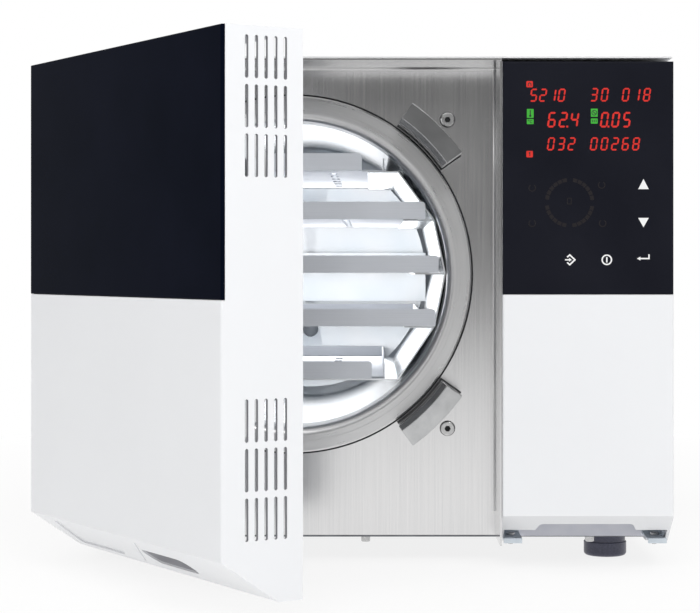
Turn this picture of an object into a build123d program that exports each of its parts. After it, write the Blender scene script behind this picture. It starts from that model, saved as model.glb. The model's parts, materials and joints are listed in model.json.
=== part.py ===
from build123d import *
import math
import os

# Row frame, millimetres: +X to the right as seen from the front, +Y to the rear, +Z up.
# The origin is on the table, under the middle of the body.

# Sheets and fits
sheet = 1.5
cover_sheet = 1.2
cover_bend = 4.0
fit_gap = 0.3
running_fit = 0.05
screw_shank = 1.9

# Depths are measured back from the plane of the closed door's front face
plate_depth = 68.0
door_thickness = 63.0
column_width = 137.0
flange_gap = 0.8

# Room round the chamber's flange and jacket, which sets the size of the body
chamber_left_gap = 22.0
chamber_right_gap = 19.0
chamber_floor_gap = 58.6
chamber_roof_gap = 14.5
rear_room = 85.0

# Chamber
bore_radius = 127.5
ring_width = 20.3
ring_proud = 3.0
ring_length = 48.0
flange_side = 2.2
flange_rise = 16.2
flange_thickness = 14.0
vessel_step = 0.5
vessel_wall = 2.5
vessel_length = 450.0
vessel_end = 5.0
heater_thickness = 3.0
heater_width = 60.0
heater_pitch = 115.0
jacket_thickness = 24.0
cradle_half = 110.0
cradle_sheet = 3.0

# Lock blocks on the chamber flange
block_angles = (45.0, 120.0, 240.0, 315.0)
block_gap = 2.7
block_thickness = 19.0
block_half_angle = 9.6
block_height = 50.0
block_chamfer = 4.0
block_screw_gap = 11.5
block_screw_head = 11.7
block_screw_height = 4.0
block_screw_shank = 3.0
block_screw_length = 12.0
block_screw_socket = 2.6

# Door
door_side_gap = 2.0
door_wall = 2.5
door_lip_height = 46.2
door_bottom = 16.5
door_slope_depth = 43.7
door_open = 58.5
glass_height = 186.1
glass_thickness = 3.0
front_edge_radius = 2.0
cover_depth = 58.0
cover_thickness = 2.0
cover_inset = 118.0
cover_post_radius = 5.0

# Side slots of the door, in two groups of rows
vent_columns = 5
vent_rows = 3
vent_pitch = 7.48
vent_row_pitch = 33.5
vent_front = 19.3
vent_width = 2.7
vent_height = 29.4
vent_top_gap = 21.1
vent_glass_gap = 81.7

# Sloping underside of the door: finger grip, slanted recess and groove
grip_from_edge = 131.5
grip_length = 73.0
grip_width = 21.0
grip_radius = 9.0
grip_depth = 25.5
grip_cup_depth = 18.0
recess_near = 185.0
recess_far = 307.0
recess_slant = 53.0
recess_flare = 15.0
recess_low = 6.5
recess_high = 38.0
recess_depth = 1.2
groove_near = 151.0
groove_width = 2.5

# Hinges
hinge_inset = 10.0
hinge_depth = 53.0
hinge_offset = 100.0
knuckle_radius = 8.0
hinge_pin_radius = 4.0
door_knuckle_length = 24.0
body_knuckle_length = 14.0
hinge_foot_width = 31.0

# Control column
column_lip_depth = 20.0
column_side_depth = 35.6
notch_half = 41.0
notch_corner = 4.0
notch_rise = 8.6
bracket_front = 22.0
bracket_width = 15.0
bracket_rise = 3.5
bracket_wing = 14.0
bracket_screw_depth = 45.0
bracket_screw_inset = 7.0
bracket_pad = 2.0
display_inset = 12.0

# Closure inside the door, depths behind the door's front face
frame_front = 43.5
frame_thickness = 8.0
disc_edge = 3.0
disc_thickness = 12.5
gasket_step = 3.5
gasket_width = 9.0
gasket_depth = 4.5
gasket_squeeze_gap = 0.3
bolt_width = 24.0
bolt_thickness = 12.0
bolt_front = 31.0
bolt_rest_gap = 5.0
bolt_inner_end = 30.0
bolt_chamfer = 4.0
bolt_stroke = 15.0
bolt_pin_radius = 4.0
cam_slot_start = 38.0
cam_slot_clearance = 0.2
cam_rim = 11.0
cam_turn = 75.0
cam_front = 24.0
cam_thickness = 6.0
cam_post_radius = 10.0
cam_post_collar = 14.0
gear_module = 1.5
cam_teeth = 96
sector_teeth = 28
pinion_teeth = 16
pinion_shaft = 3.0
pressure_angle = 20.0
tooth_backlash = 0.25
guide_length = 47.0
guide_tip_gap = 10.5
guide_wall = 8.0
guide_gap = 0.2
frame_post_inset = 10.0
frame_post_rise = 48.0
frame_post_radius = 7.0
frame_screw_shank = 2.0
frame_screw_head = 3.6
frame_screw_grip = 8.0

# Trays and rack, levels measured from the chamber's axis
tray_levels = (86.5, 46.0, 1.0, -43.8, -87.5)
rack_gaps = (4.7, 1.3, 0.3, 1.5, 3.1)
tray_side_gaps = (11.7, 16.7, 13.2, 10.0, 12.0)
tray_front_reach = (-19.0, 9.0, 7.0, 10.5, -11.0)
tray_recess = 15.0
tray_rear_gap = 35.0
tray_sheet = 1.2
tray_seat = 0.3
tray_front_height = 14.5
tray_lip_height = 11.0
rack_recess = 4.5
rack_sheet = 1.2
ledge_width = 26.0
ledge_hole = 3.4

# Ports and pipes
port_offset = 60.0
port_reach = 24.0
port_radius = 9.0
port_bore = 5.0
pipe_radius = 3.5
pipe_bend = 9.0
pipe_turn_room = 11.0

# Bay on the right of the chamber
partition_gap = 1.9
shelf_side_gap = 4.8
tank_size = (126.0, 260.0, 104.0)
tank_wall = 3.0
tank_front_depth = 238.0
tank_roof_gap = 19.3
neck_half = (46.0, 60.0)
neck_depth = 380.0
neck_wall = 2.5
neck_rise = 2.0
lid_thickness = 4.0
lid_overhang = 8.0
lid_hinge_radius = 4.0
lid_pin_radius = 1.5
boiler_depth = 175.0
boiler_height = 176.0
boiler_radius = 38.0
boiler_flange = 46.0
boiler_outlet = 16.0
pump_depth = 260.0
pump_rise = 54.0
pump_radius = 34.0
supply_depth = 430.0
supply_size = (110.0, 85.0, 40.0)
manifold_rise = 19.0
manifold_valves = 4
manifold_pitch = 25.0
board_rise = 38.0
board_height = 170.0

# Rear panel
fan_rise = 198.0
fan_size = 92.0
fan_depth = 25.0
fan_hub = 17.0
fan_blades = 7
condenser_half = 50.0
inlet_offset = -16.0
inlet_rise = 54.0
inlet_width = 48.0
inlet_height = 58.0
socket_rise = 13.0
switch_drop = 14.0
switch_half = (10.0, 11.5)
switch_pin = 1.5
switch_tilt = 12.0
spigot_offsets = (-83.0, -43.0)
spigot_rise = 38.0
spigot_radius = 5.0
spigot_bore = 3.0
valve_rise = 91.3
valve_radius = 13.0

# Feet and the screws under the body
foot_height = 20.5
foot_radius = 18.0
foot_drum = 12.0
foot_inset = 42.5
foot_front_depth = 110.0
foot_rear_gap = 70.0
foot_stud = 3.0
base_screw_head = 3.8
base_screw_height = 6.0
front_screw_depth = 85.0
rear_screw_gap = 50.0

# Derived places: chamber and body
ring_radius = bore_radius + ring_width
flange_half = ring_radius + flange_side
flange_half_height = ring_radius + flange_rise
vessel_inner = bore_radius + vessel_step
vessel_outer = vessel_inner + vessel_wall
jacket_inner = vessel_outer + heater_thickness + 2 * fit_gap
jacket_outer = jacket_inner + jacket_thickness
ring_face = plate_depth - ring_proud
vessel_rear_depth = ring_face + vessel_length
body_width = chamber_left_gap + 2 * flange_half + chamber_right_gap + column_width
body_depth = vessel_rear_depth + rear_room
half_width = body_width / 2
front_y = -body_depth / 2
rear_y = body_depth / 2
base_top = foot_height + sheet
chamber_x = chamber_left_gap + flange_half - half_width
chamber_z = base_top + chamber_floor_gap + jacket_outer
body_height = chamber_z + jacket_outer + chamber_roof_gap + cover_sheet
roof_under = body_height - cover_sheet
plate_top = roof_under - fit_gap
door_left = -half_width
plate_right = half_width - column_width
door_right = plate_right - door_side_gap
column_left = plate_right + fit_gap
door_top = plate_top - sheet - flange_gap
black_bottom = door_top - glass_height
hinge_x = door_left + hinge_inset

# Derived places: closure
block_inner = ring_radius + block_gap
block_outer = block_inner + block_thickness
block_screw_radius = block_outer + block_screw_gap
gasket_inner = bore_radius + gasket_step
gasket_outer = gasket_inner + gasket_width
disc_radius = gasket_outer + disc_edge
disc_front = frame_front + frame_thickness
disc_rear = disc_front + disc_thickness
frame_half = gasket_outer
bolt_tip = block_inner - bolt_rest_gap
guide_outer = bolt_tip - guide_tip_gap
guide_inner = guide_outer - guide_length
cam_radius = gear_module * cam_teeth / 2
pinion_radius = gear_module * pinion_teeth / 2
gear_centres = cam_radius + pinion_radius
bolt_lift = bolt_stroke / math.radians(cam_turn)

# Derived places: trays, bay and rear
tray_front_depth = ring_face + tray_recess
tray_length = vessel_rear_depth - tray_rear_gap - tray_front_depth
rack_depth = tray_front_depth + rack_recess
rack_corners = [(math.sqrt((bore_radius - gap) ** 2 - (level - tray_seat) ** 2), level - tray_seat)
                for level, gap in zip(tray_levels, rack_gaps)]
partition_x = chamber_x + jacket_outer + partition_gap
bay_middle = (partition_x + sheet + half_width - cover_sheet) / 2
tank_base = roof_under - tank_roof_gap - tank_size[2]
boiler_top = base_top + boiler_height


def at(depth):
    """Row Y of a depth behind the front plane."""
    return front_y + depth


hinge_y = at(hinge_depth)
vessel_rear = at(vessel_rear_depth)
pipe_rear_y = vessel_rear + port_reach + pipe_turn_room
tank_front = at(tank_front_depth)
neck_centre = (bay_middle, at(neck_depth))
boiler_centre = (bay_middle, at(boiler_depth))
fan_centre = (bay_middle, base_top + fan_rise)
inlet_centre = (bay_middle + inlet_offset, base_top + inlet_rise)
spigot_places = [(chamber_x + dx, base_top + spigot_rise) for dx in spigot_offsets]
valve_place = (chamber_x, chamber_z + valve_rise)
foot_places = [(x, y) for y in (at(foot_front_depth), rear_y - foot_rear_gap)
               for x in (foot_inset - half_width, half_width - foot_inset)]
base_screw_places = [(-7.0, at(front_screw_depth)), (half_width - 58, at(front_screw_depth)),
                     (-7.0, rear_y - rear_screw_gap), (half_width - 119, rear_y - rear_screw_gap),
                     (79 - half_width, 20.0), (60.0, 20.0)]


def block(x0, x1, y0, y1, z0, z1):
    """A box between two corners."""
    return Pos((x0 + x1) / 2, (y0 + y1) / 2, (z0 + z1) / 2) * Box(x1 - x0, y1 - y0, z1 - z0)


def facing(sketch, y0, y1):
    """A sketch drawn as seen from the front, carried from y0 back to y1."""
    return extrude(Plane.XZ.offset(-y1) * sketch, amount=y1 - y0)


def upright(sketch, z0, z1):
    """A sketch drawn as seen from above, carried from z0 up to z1."""
    return extrude(Plane.XY.offset(z0) * sketch, amount=z1 - z0)


def sideways(points, x0, x1):
    """A (Y, Z) outline carried across from x0 to x1."""
    outline = make_face(Polyline(*points, close=True))
    return extrude(Plane.YZ.offset(x0) * outline, amount=x1 - x0)


def along_y(radius, x, z, y0, y1):
    """A round bar along Y."""
    return facing(Pos(x, z) * Circle(radius), y0, y1)


def along_x(radius, y, z, x0, x1):
    """A round bar along X."""
    return extrude(Plane.YZ.offset(x0) * (Pos(y, z) * Circle(radius)), amount=x1 - x0)


def along_z(radius, x, y, z0, z1):
    """A round bar along Z."""
    return upright(Pos(x, y) * Circle(radius), z0, z1)


def chamber_turn(points):
    """An outline of (radius, row Y) points turned about the chamber's axis."""
    outline = make_face(Polyline(*[(chamber_x + r, y, chamber_z) for r, y in points], close=True))
    return revolve(outline, Axis((chamber_x, 0, chamber_z), (0, 1, 0)))


def about_chamber(shape, angle):
    """Turn a shape about the chamber's axis, anticlockwise as seen from the front."""
    return shape.rotate(Axis((chamber_x, 0, chamber_z), (0, -1, 0)), angle)


def sector(r_inner, r_outer, centre_angle, half_angle, y0, y1):
    """A ring sector about the chamber's axis, between two depths."""
    ring = Circle(r_outer) - Circle(r_inner)
    reach = 2 * r_outer
    a = math.radians(half_angle)
    wedge = make_face(Polyline((0, 0), (reach * math.cos(a), -reach * math.sin(a)),
                               (reach * math.cos(a), reach * math.sin(a)), close=True))
    return facing(Pos(chamber_x, chamber_z) * Rot(0, 0, centre_angle) * (ring & wedge), y0, y1)


def swing(shape):
    """Carry a shape drawn on the closed door to the open door shown."""
    return shape.rotate(Axis((hinge_x, hinge_y, 0), (0, 0, 1)), -door_open)


def slot_outline(width, height):
    """An upright slot with round ends."""
    return Rot(0, 0, 90) * SlotOverall(height, width)


def save(node, shape):
    """Write one node, as one solid or a group of separate solids."""
    if isinstance(shape, (list, tuple)):
        shape = Compound(children=list(shape))
    export_step(shape, f"parts/{node}.step")


# Body sheet metal

def base_pan():
    """Folded tray: floor and three upstands, with holes for the feet, screws and cooling air."""
    edge = half_width - cover_sheet - fit_gap
    rear = rear_y - sheet - fit_gap
    front = at(plate_depth + sheet + fit_gap)
    lip = base_top + 18
    pan = block(-edge, edge, front, rear, foot_height, base_top)
    pan += block(-edge, sheet - edge, front, rear, foot_height, lip)
    pan += block(edge - sheet, edge, front, rear, foot_height, lip)
    pan += block(-edge, edge, rear - sheet, rear, foot_height, lip)
    for x, y in foot_places:
        pan -= along_z(foot_stud + 0.2, x, y, foot_height - 1, base_top + 1)
    for x, y in base_screw_places:
        pan -= along_z(screw_shank + running_fit, x, y, foot_height - 1, base_top + 1)
    for x_step in (-22, 0, 22):
        for y_step in (-36, -18, 0, 18, 36):
            vent = Pos(bay_middle + x_step, y_step - 20) * SlotOverall(14, 4)
            pan -= upright(vent, foot_height - 1, base_top + 1)
    return pan


def bracket_screw_places():
    """Where the column's two brackets are bolted to the column's pads."""
    inset = door_wall + bracket_screw_inset
    return ((column_left + inset, at(bracket_screw_depth)), (half_width - inset, at(bracket_screw_depth)))


def casing_cover():
    """A folded U: roof and two sides, with cooling slots and the filler opening."""
    outer = Pos(0, (body_height + foot_height) / 2) * Rectangle(body_width, body_height - foot_height)
    outer = fillet(outer.vertices().group_by(Axis.Y)[-1], cover_bend)
    inner_height = roof_under - foot_height + 1
    inner = Pos(0, roof_under - inner_height / 2) * Rectangle(body_width - 2 * cover_sheet, inner_height)
    inner = fillet(inner.vertices().group_by(Axis.Y)[-1], cover_bend - cover_sheet)
    shell = facing(outer - inner, front_y, rear_y)
    for x0, x1, depth in ((-half_width - 1, 0, plate_depth + sheet + fit_gap),
                          (0, half_width + 1, door_thickness + fit_gap)):
        shell -= block(x0, x1, front_y - 1, at(depth), 0, roof_under)
    cut = Pos(*neck_centre) * RectangleRounded(2 * neck_half[0] + 2, 2 * neck_half[1] + 2, 11)
    shell -= upright(cut, roof_under - 2, body_height + 1)
    for row in range(3):
        for i in range(9):
            place = Pos(rear_y - 180 + 15 * i, base_top + 68 + 40 * row)
            shell -= extrude(Plane.YZ.offset(-half_width - 1) * (place * slot_outline(4, 30)),
                             amount=body_width + 2)
    return shell


def rear_panel():
    """Flat rear sheet with the fan grille and the cut-outs for what passes through it."""
    edge = half_width - cover_sheet - fit_gap
    middle = (base_top + roof_under) / 2
    height = roof_under - base_top - 2 * fit_gap
    outline = Pos(0, middle) * Rectangle(2 * edge, height)
    outline = fillet(outline.vertices().group_by(Axis.Y)[-1], cover_bend)
    for radius in (14.0, 24.0, 34.0):
        for k in range(6):
            a = 60 * k
            band = (Circle(radius + 3) - Circle(radius - 3)) & (Rot(0, 0, a) * Pos(radius, 0)
                                                               * Rectangle(16, radius * 0.66))
            outline -= Pos(*fan_centre) * band
    outline -= Pos(*inlet_centre) * Rectangle(inlet_width, inlet_height)
    for x, z in spigot_places:
        outline -= Pos(x, z) * Circle(spigot_radius + fit_gap)
    outline -= Pos(*valve_place) * Circle(valve_radius + fit_gap)
    for i in range(8):
        outline -= Pos(14 * (i - 3.5) + chamber_x - 43, chamber_z + 12) * slot_outline(4, 60)
    return facing(outline, rear_y - sheet, rear_y)


def front_plate():
    """Stainless plate round the chamber ring with a folded top flange and right flange."""
    y0 = at(plate_depth)
    y1 = y0 + sheet
    outline = Pos((door_left + plate_right) / 2, (base_top + plate_top) / 2)
    outline = outline * Rectangle(plate_right - door_left, plate_top - base_top - fit_gap)
    outline -= Pos(chamber_x, chamber_z) * Circle(ring_radius + 0.2)
    for x, z in block_screw_places():
        outline -= Pos(x, z) * Circle(block_screw_shank + 0.2)
    plate = facing(outline, y0, y1)
    plate += block(door_left, plate_right, front_y, y1, plate_top - sheet, plate_top)
    plate += block(plate_right - sheet, plate_right, front_y + sheet, y1, base_top + fit_gap / 2, plate_top)
    return plate


def slope_height(depth):
    """Row Z of the sloping underside at a depth."""
    return door_lip_height - (door_lip_height - door_bottom) * depth / door_slope_depth


def side_profile():
    """Side outline of the door as (Y, Z): flat front, sloping underside, short flat bottom."""
    return [(front_y, door_top), (front_y, door_lip_height), (at(door_slope_depth), door_bottom),
            (at(door_thickness), door_bottom), (at(door_thickness), door_top)]


def glass_bed(x0, x1):
    """The space that the black glass takes from a shell."""
    return block(x0 - 1, x1 + 1, front_y - 1, at(glass_thickness), black_bottom, door_top + 1)


def control_shell():
    """White column: front wall, two sides and top, with a notched lip below and a pad in each corner."""
    x0 = column_left
    x1 = half_width
    w = door_wall
    side_z = slope_height(column_side_depth)
    outline = [(front_y, door_top), (front_y, door_lip_height), (at(column_side_depth), side_z),
               (at(door_thickness), side_z), (at(door_thickness), door_top)]
    body = sideways(outline, x0, x1)
    body = fillet(body.edges().filter_by(Axis.Z).group_by(Axis.Y)[0], front_edge_radius)
    inner = [(at(glass_thickness + w), door_top - w), (at(glass_thickness + w), black_bottom - w),
             (at(w), black_bottom - w), (at(w), door_lip_height + w * 0.6),
             (at(column_lip_depth), slope_height(column_lip_depth) + w * 1.2),
             (at(column_lip_depth), side_z - 5), (at(door_thickness + 1), side_z - 5),
             (at(door_thickness + 1), door_top - w)]
    body -= sideways(inner, x0 + w, x1 - w)
    body -= glass_bed(x0, x1)
    middle = (x0 + x1) / 2
    front = at(column_lip_depth - notch_rise)
    rear = at(column_lip_depth + 1)
    notch = make_face(Polyline((middle - notch_half + 4, front), (middle + notch_half - 4, front),
                               (middle + notch_half, rear), (middle - notch_half, rear), close=True))
    notch = fillet(notch.vertices().group_by(Axis.Y)[0], notch_corner)
    body -= upright(notch, side_z, door_lip_height)
    pad_top = base_top + bracket_rise - sheet
    pad_low = pad_top - bracket_pad
    for side, wall_x, screw in zip((1, -1), (x0 + w, x1 - w), bracket_screw_places()):
        near, far = sorted((wall_x - side * w / 2, wall_x + side * bracket_width))
        pad = block(near, far, at(column_side_depth + 1), at(door_thickness - 8), pad_low, pad_top)
        body += pad - along_z(screw_shank + running_fit, *screw, pad_low - 1, pad_top + 1)
    return body


def glass_panel(x0, x1):
    """Black glass, flush with the front, with softened front corners."""
    panel = block(x0 + fit_gap, x1 - fit_gap, front_y, at(glass_thickness),
                  black_bottom + fit_gap, door_top - 0.2)
    return chamfer(panel.faces().sort_by(Axis.Y)[0].edges(), 0.6)


def shell_brackets():
    """Two zinc corner brackets: a shelf with a front lip and a side wing, hung on the bulkhead."""
    shelf = base_top + bracket_rise
    y0 = at(bracket_front)
    y1 = at(door_thickness + fit_gap)
    pieces = []
    for side, wall_x, (x, y) in ((1, column_left + door_wall, bracket_screw_places()[0]),
                                 (-1, half_width - door_wall, bracket_screw_places()[1])):
        x0, x1 = sorted((wall_x, wall_x + side * bracket_width))
        wing = sorted((wall_x, wall_x + side * sheet))
        body = block(x0, x1, y0, y1, shelf - sheet, shelf)
        body += block(x0, x1, y0, y0 + sheet, shelf - 4, shelf)
        body += block(x0, x1, y1 - sheet, y1, shelf - sheet, shelf + bracket_wing)
        body += block(*wing, at(column_side_depth), y1, shelf - sheet, shelf + bracket_wing)
        pieces.append(body - along_z(screw_shank + running_fit, x, y, shelf - sheet - 1, shelf + 1))
    return pieces


def base_screw(x, y):
    """A cheese-head screw driven up into the base pan, head below."""
    head = along_z(base_screw_head, x, y, foot_height - base_screw_height, foot_height)
    head = fillet(head.faces().sort_by(Axis.Z)[0].edges(), 1.0)
    return head + along_z(screw_shank, x, y, foot_height, foot_height + 6)


def bracket_bolt(x, y):
    """A pan-head bolt down through a column bracket, with its nut below the pad."""
    shelf = base_top + bracket_rise
    pad_bottom = shelf - sheet - bracket_pad
    head = along_z(3.6, x, y, shelf, shelf + 2.4)
    head = fillet(head.faces().sort_by(Axis.Z)[-1].edges(), 1.0)
    head += along_z(screw_shank, x, y, pad_bottom - 4, shelf)
    return head + upright(Pos(x, y) * RegularPolygon(3.6, 6), pad_bottom - 2.6, pad_bottom)


def display_module():
    """Circuit board with a row of display blocks standing behind the glass."""
    x0 = column_left + display_inset
    x1 = half_width - display_inset
    y0 = at(glass_thickness + door_wall + fit_gap)
    board = block(x0, x1, y0 + 6, y0 + 7.6, black_bottom + display_inset, door_top - display_inset)
    for i in range(3):
        z = door_top - 42 - 22 * i
        board += block(x0 + 8, x1 - 8, y0, y0 + 6, z - 9, z + 9)
    board += block(x0 + 20, x1 - 20, y0 + 7.6, y0 + 16, black_bottom + 30, black_bottom + 60)
    return board


def bay_bulkhead():
    """Sheet behind the column that carries the column, the display and the main board."""
    y0 = at(door_thickness + fit_gap)
    x0 = plate_right + fit_gap
    x1 = half_width - cover_sheet - 2 * fit_gap - sheet
    wall = block(x0, x1, y0, y0 + sheet, base_top, roof_under - cover_bend)
    wall += block(x0, x1, y0, y0 + 14, base_top, base_top + sheet)
    for i in range(6):
        for j in range(4):
            hole = Pos((x0 + x1) / 2 + 24 * (j - 1.5), black_bottom + 28 + 22 * i) * Circle(5)
            wall -= facing(hole, y0 - 1, y0 + sheet + 1)
    return wall


def bay_frame():
    """Partition between chamber and bay with the tank's shelf folded from it."""
    y0 = at(plate_depth + sheet + 12)
    y1 = rear_y - 2 * sheet - 2 * fit_gap
    x0 = partition_x
    x1 = half_width - cover_sheet - shelf_side_gap
    tank_rear = tank_front + tank_size[1]
    post_y = tank_front + 100
    wall = block(x0, x0 + sheet, y0, y1, base_top, tank_base - sheet)
    wall += block(x0, x0 + 14, y0, y1, base_top, base_top + sheet)
    wall += block(x0, x1, tank_front, tank_rear, tank_base - sheet, tank_base)
    wall += block(x1 - sheet, x1, tank_front, tank_rear, tank_base - 14, tank_base)
    wall += block(x1 - sheet - 10, x1, post_y, post_y + 16, base_top, tank_base)
    wall -= along_x(pipe_radius + 2, pipe_rear_y, chamber_z - port_offset, x0 - 1, x0 + sheet + 1)
    return wall


def feet():
    """Four rubber feet: a drum with a rounded sole under a narrower neck."""
    pieces = []
    for x, y in foot_places:
        drum = along_z(foot_radius, x, y, 0, foot_drum)
        drum = fillet(drum.faces().sort_by(Axis.Z)[0].edges(), 3.0)
        drum = fillet(drum.faces().sort_by(Axis.Z)[-1].edges(), 0.6)
        neck = along_z(foot_radius - 1, x, y, foot_drum - 1, foot_height)
        stud = along_z(foot_stud, x, y, foot_height, base_top + 6)
        pieces.append(drum + neck + stud)
    return pieces


def case_screws():
    """Screws under the base pan and the bolts of the column's brackets."""
    pieces = [base_screw(x, y) for x, y in base_screw_places]
    return pieces + [bracket_bolt(x, y) for x, y in bracket_screw_places()]


# Pressure chamber

def block_screw_places():
    """Row (X, Z) of the socket screw beside each lock block."""
    r = block_screw_radius
    turns = [math.radians(angle) for angle in block_angles]
    return [(chamber_x + r * math.cos(a), chamber_z + r * math.sin(a)) for a in turns]


def chamber_ring():
    """Machined mouth ring with a rectangular bolting flange behind the front plate."""
    y0 = at(ring_face)
    flange0 = at(plate_depth + sheet)
    flange1 = flange0 + flange_thickness
    y1 = y0 + ring_length
    groove = bore_radius + 9.7
    profile = [(bore_radius, y0 + 7), (bore_radius + 0.9, y0 + 3.5), (bore_radius + 3, y0 + 1.2),
               (bore_radius + 6.5, y0), (groove, y0), (groove, y0 + 1), (groove + 1.6, y0 + 1),
               (groove + 1.6, y0), (ring_radius - 1.2, y0), (ring_radius, y0 + 1.2), (ring_radius, flange1),
               (vessel_outer + 6, flange1 + 6), (vessel_outer + 6, y1), (bore_radius, y1)]
    ring = chamber_turn(profile)
    square = RectangleRounded(2 * flange_half, 2 * flange_half_height, 18) - Circle(ring_radius - 2)
    ring += facing(Pos(chamber_x, chamber_z) * square, flange0, flange1)
    for x, z in block_screw_places():
        hole = block_screw_shank + running_fit
        ring -= along_y(hole, x, z, flange0 - 1, at(plate_depth) + block_screw_length)
    return ring


def chamber_vessel():
    """Drawn stainless vessel behind the ring, with a dished end and two ports."""
    y0 = at(ring_face + ring_length)
    y1 = vessel_rear
    profile = [(vessel_inner, y0), (vessel_outer, y0), (vessel_outer, y1 - 10), (vessel_outer - 8, y1 + 2),
               (0, y1 + 12), (0, y1 + 12 - vessel_end), (vessel_inner - 8, y1 - 3), (vessel_inner, y1 - 12)]
    vessel = chamber_turn(profile)
    for dz in (port_offset, -port_offset):
        vessel += along_y(port_radius, chamber_x, chamber_z + dz, y1 + 2, y1 + port_reach)
        vessel -= along_y(port_bore, chamber_x, chamber_z + dz, y1 - 20, y1 + port_reach + 1)
    return vessel


def heater_bands():
    """Three band heaters clamped round the vessel, each with a bolt gap and two ears."""
    pieces = []
    inner = vessel_outer + fit_gap
    outer = inner + heater_thickness
    for i in range(3):
        y0 = at(ring_face + ring_length + 40 + heater_pitch * i)
        y1 = y0 + heater_width
        band = chamber_turn([(inner, y0), (outer, y0), (outer, y1), (inner, y1)])
        band -= block(chamber_x - 6, chamber_x + 6, y0 - 1, y1 + 1,
                      chamber_z + inner / 2, chamber_z + outer + 1)
        for side in (-1, 1):
            x = chamber_x + side * 7
            band += block(x - 1, x + 1, y0 + 18, y1 - 18, chamber_z + inner, chamber_z + inner + 14)
        pieces.append(band)
    return pieces


def insulation():
    """Mineral-wool jacket round the vessel and its bands, open along the top for the bands' ears."""
    y0 = at(ring_face + ring_length + 4)
    y1 = vessel_rear - 14
    jacket = chamber_turn([(jacket_inner, y0), (jacket_outer, y0), (jacket_outer, y1), (jacket_inner, y1)])
    return jacket - block(chamber_x - 14, chamber_x + 14, y0 - 1, y1 + 1,
                          chamber_z + jacket_inner / 2, chamber_z + jacket_outer + 1)


def chamber_cradle():
    """Rear cradle: a folded stand that carries the jacket at its back end."""
    y0 = vessel_rear - 60
    top = chamber_z - cradle_half * 0.64
    outline = Pos(chamber_x, (base_top + top) / 2) * Rectangle(2 * cradle_half, top - base_top)
    outline -= Pos(chamber_x, chamber_z) * Circle(jacket_outer + fit_gap)
    stand = facing(outline, y0, y0 + cradle_sheet)
    stand += block(chamber_x - cradle_half, chamber_x + cradle_half, y0, y0 + 25,
                   base_top, base_top + cradle_sheet)
    return stand


def lock_block(angle):
    """One lock block: a ring sector undercut for its bolt, with a chamfered leading edge."""
    y0 = at(plate_depth - block_height)
    y1 = at(plate_depth)
    solid = sector(block_inner, block_outer, angle, block_half_angle, y0, y1)
    pocket_front = at(bolt_front - fit_gap)
    pocket_rear = at(bolt_front + bolt_thickness + 1.3)
    pocket_outer = bolt_tip + bolt_stroke + 4
    solid -= sector(block_inner - 1, pocket_outer, angle, block_half_angle + 1, pocket_front, pocket_rear)
    lead = chamber_turn([(block_inner - 1, y0 - 1), (block_inner + block_chamfer + 1, y0 - 1),
                         (block_inner - 1, y0 + block_chamfer + 1)])
    solid -= lead
    return solid


def lock_block_screw(x, z):
    """Socket screw beside a lock block, through the plate into the flange."""
    seat = at(plate_depth)
    head = along_y(block_screw_head / 2, x, z, seat - block_screw_height, seat)
    head = fillet(head.faces().sort_by(Axis.Y)[0].edges(), 0.8)
    socket = Pos(x, z) * RegularPolygon(block_screw_socket, 6)
    head -= facing(socket, seat - block_screw_height - 1, seat - 1.5)
    return head + along_y(block_screw_shank, x, z, seat, seat + block_screw_length)


# Door

def hinge_heights():
    """Row Z of the two hinges."""
    return (chamber_z - hinge_offset, chamber_z + hinge_offset)


def hinge_brackets():
    """Body half of each hinge: a foot on the front plate with an upper and a lower knuckle."""
    pieces = []
    reach = door_knuckle_length / 2 + fit_gap
    for z in hinge_heights():
        foot_front = at(door_thickness + fit_gap)
        foot_end = z - reach - body_knuckle_length, z + reach + body_knuckle_length
        bracket = block(door_left + 1, door_left + 1 + hinge_foot_width,
                        foot_front, at(plate_depth), *foot_end)
        for z0, z1 in ((foot_end[0], z - reach), (z + reach, foot_end[1])):
            bracket += along_z(knuckle_radius, hinge_x, hinge_y, z0, z1)
            bracket += block(hinge_x - 5, hinge_x + 5, hinge_y, foot_front + 1, z0, z1)
        bracket -= along_z(hinge_pin_radius, hinge_x, hinge_y, foot_end[0] - 1, foot_end[1] + 1)
        pieces.append(bracket)
    return pieces


def hinge_pins():
    """Hinge pins with small heads above the upper knuckles."""
    pieces = []
    reach = door_knuckle_length / 2 + fit_gap + body_knuckle_length
    for z in hinge_heights():
        pin = along_z(hinge_pin_radius, hinge_x, hinge_y, z - reach, z + reach)
        pin += along_z(hinge_pin_radius + 2, hinge_x, hinge_y, z + reach, z + reach + 2)
        pieces.append(pin)
    return pieces


def hinge_notches():
    """Space that the body's knuckles and feet need in the door's left edge."""
    reach = door_knuckle_length / 2 + body_knuckle_length + 4
    cut = None
    for z in hinge_heights():
        one = block(door_left - 1, hinge_x + knuckle_radius + 4, at(hinge_depth - knuckle_radius - 4),
                    at(door_thickness + 1), z - reach, z + reach)
        cut = one if cut is None else cut + one
    return cut


def vent_heights():
    """Row Z of the middle of each row of side slots."""
    tops = (door_top - vent_top_gap, black_bottom - vent_glass_gap)
    return [top - vent_row_pitch * row for top in tops for row in range(vent_rows)]


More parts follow.
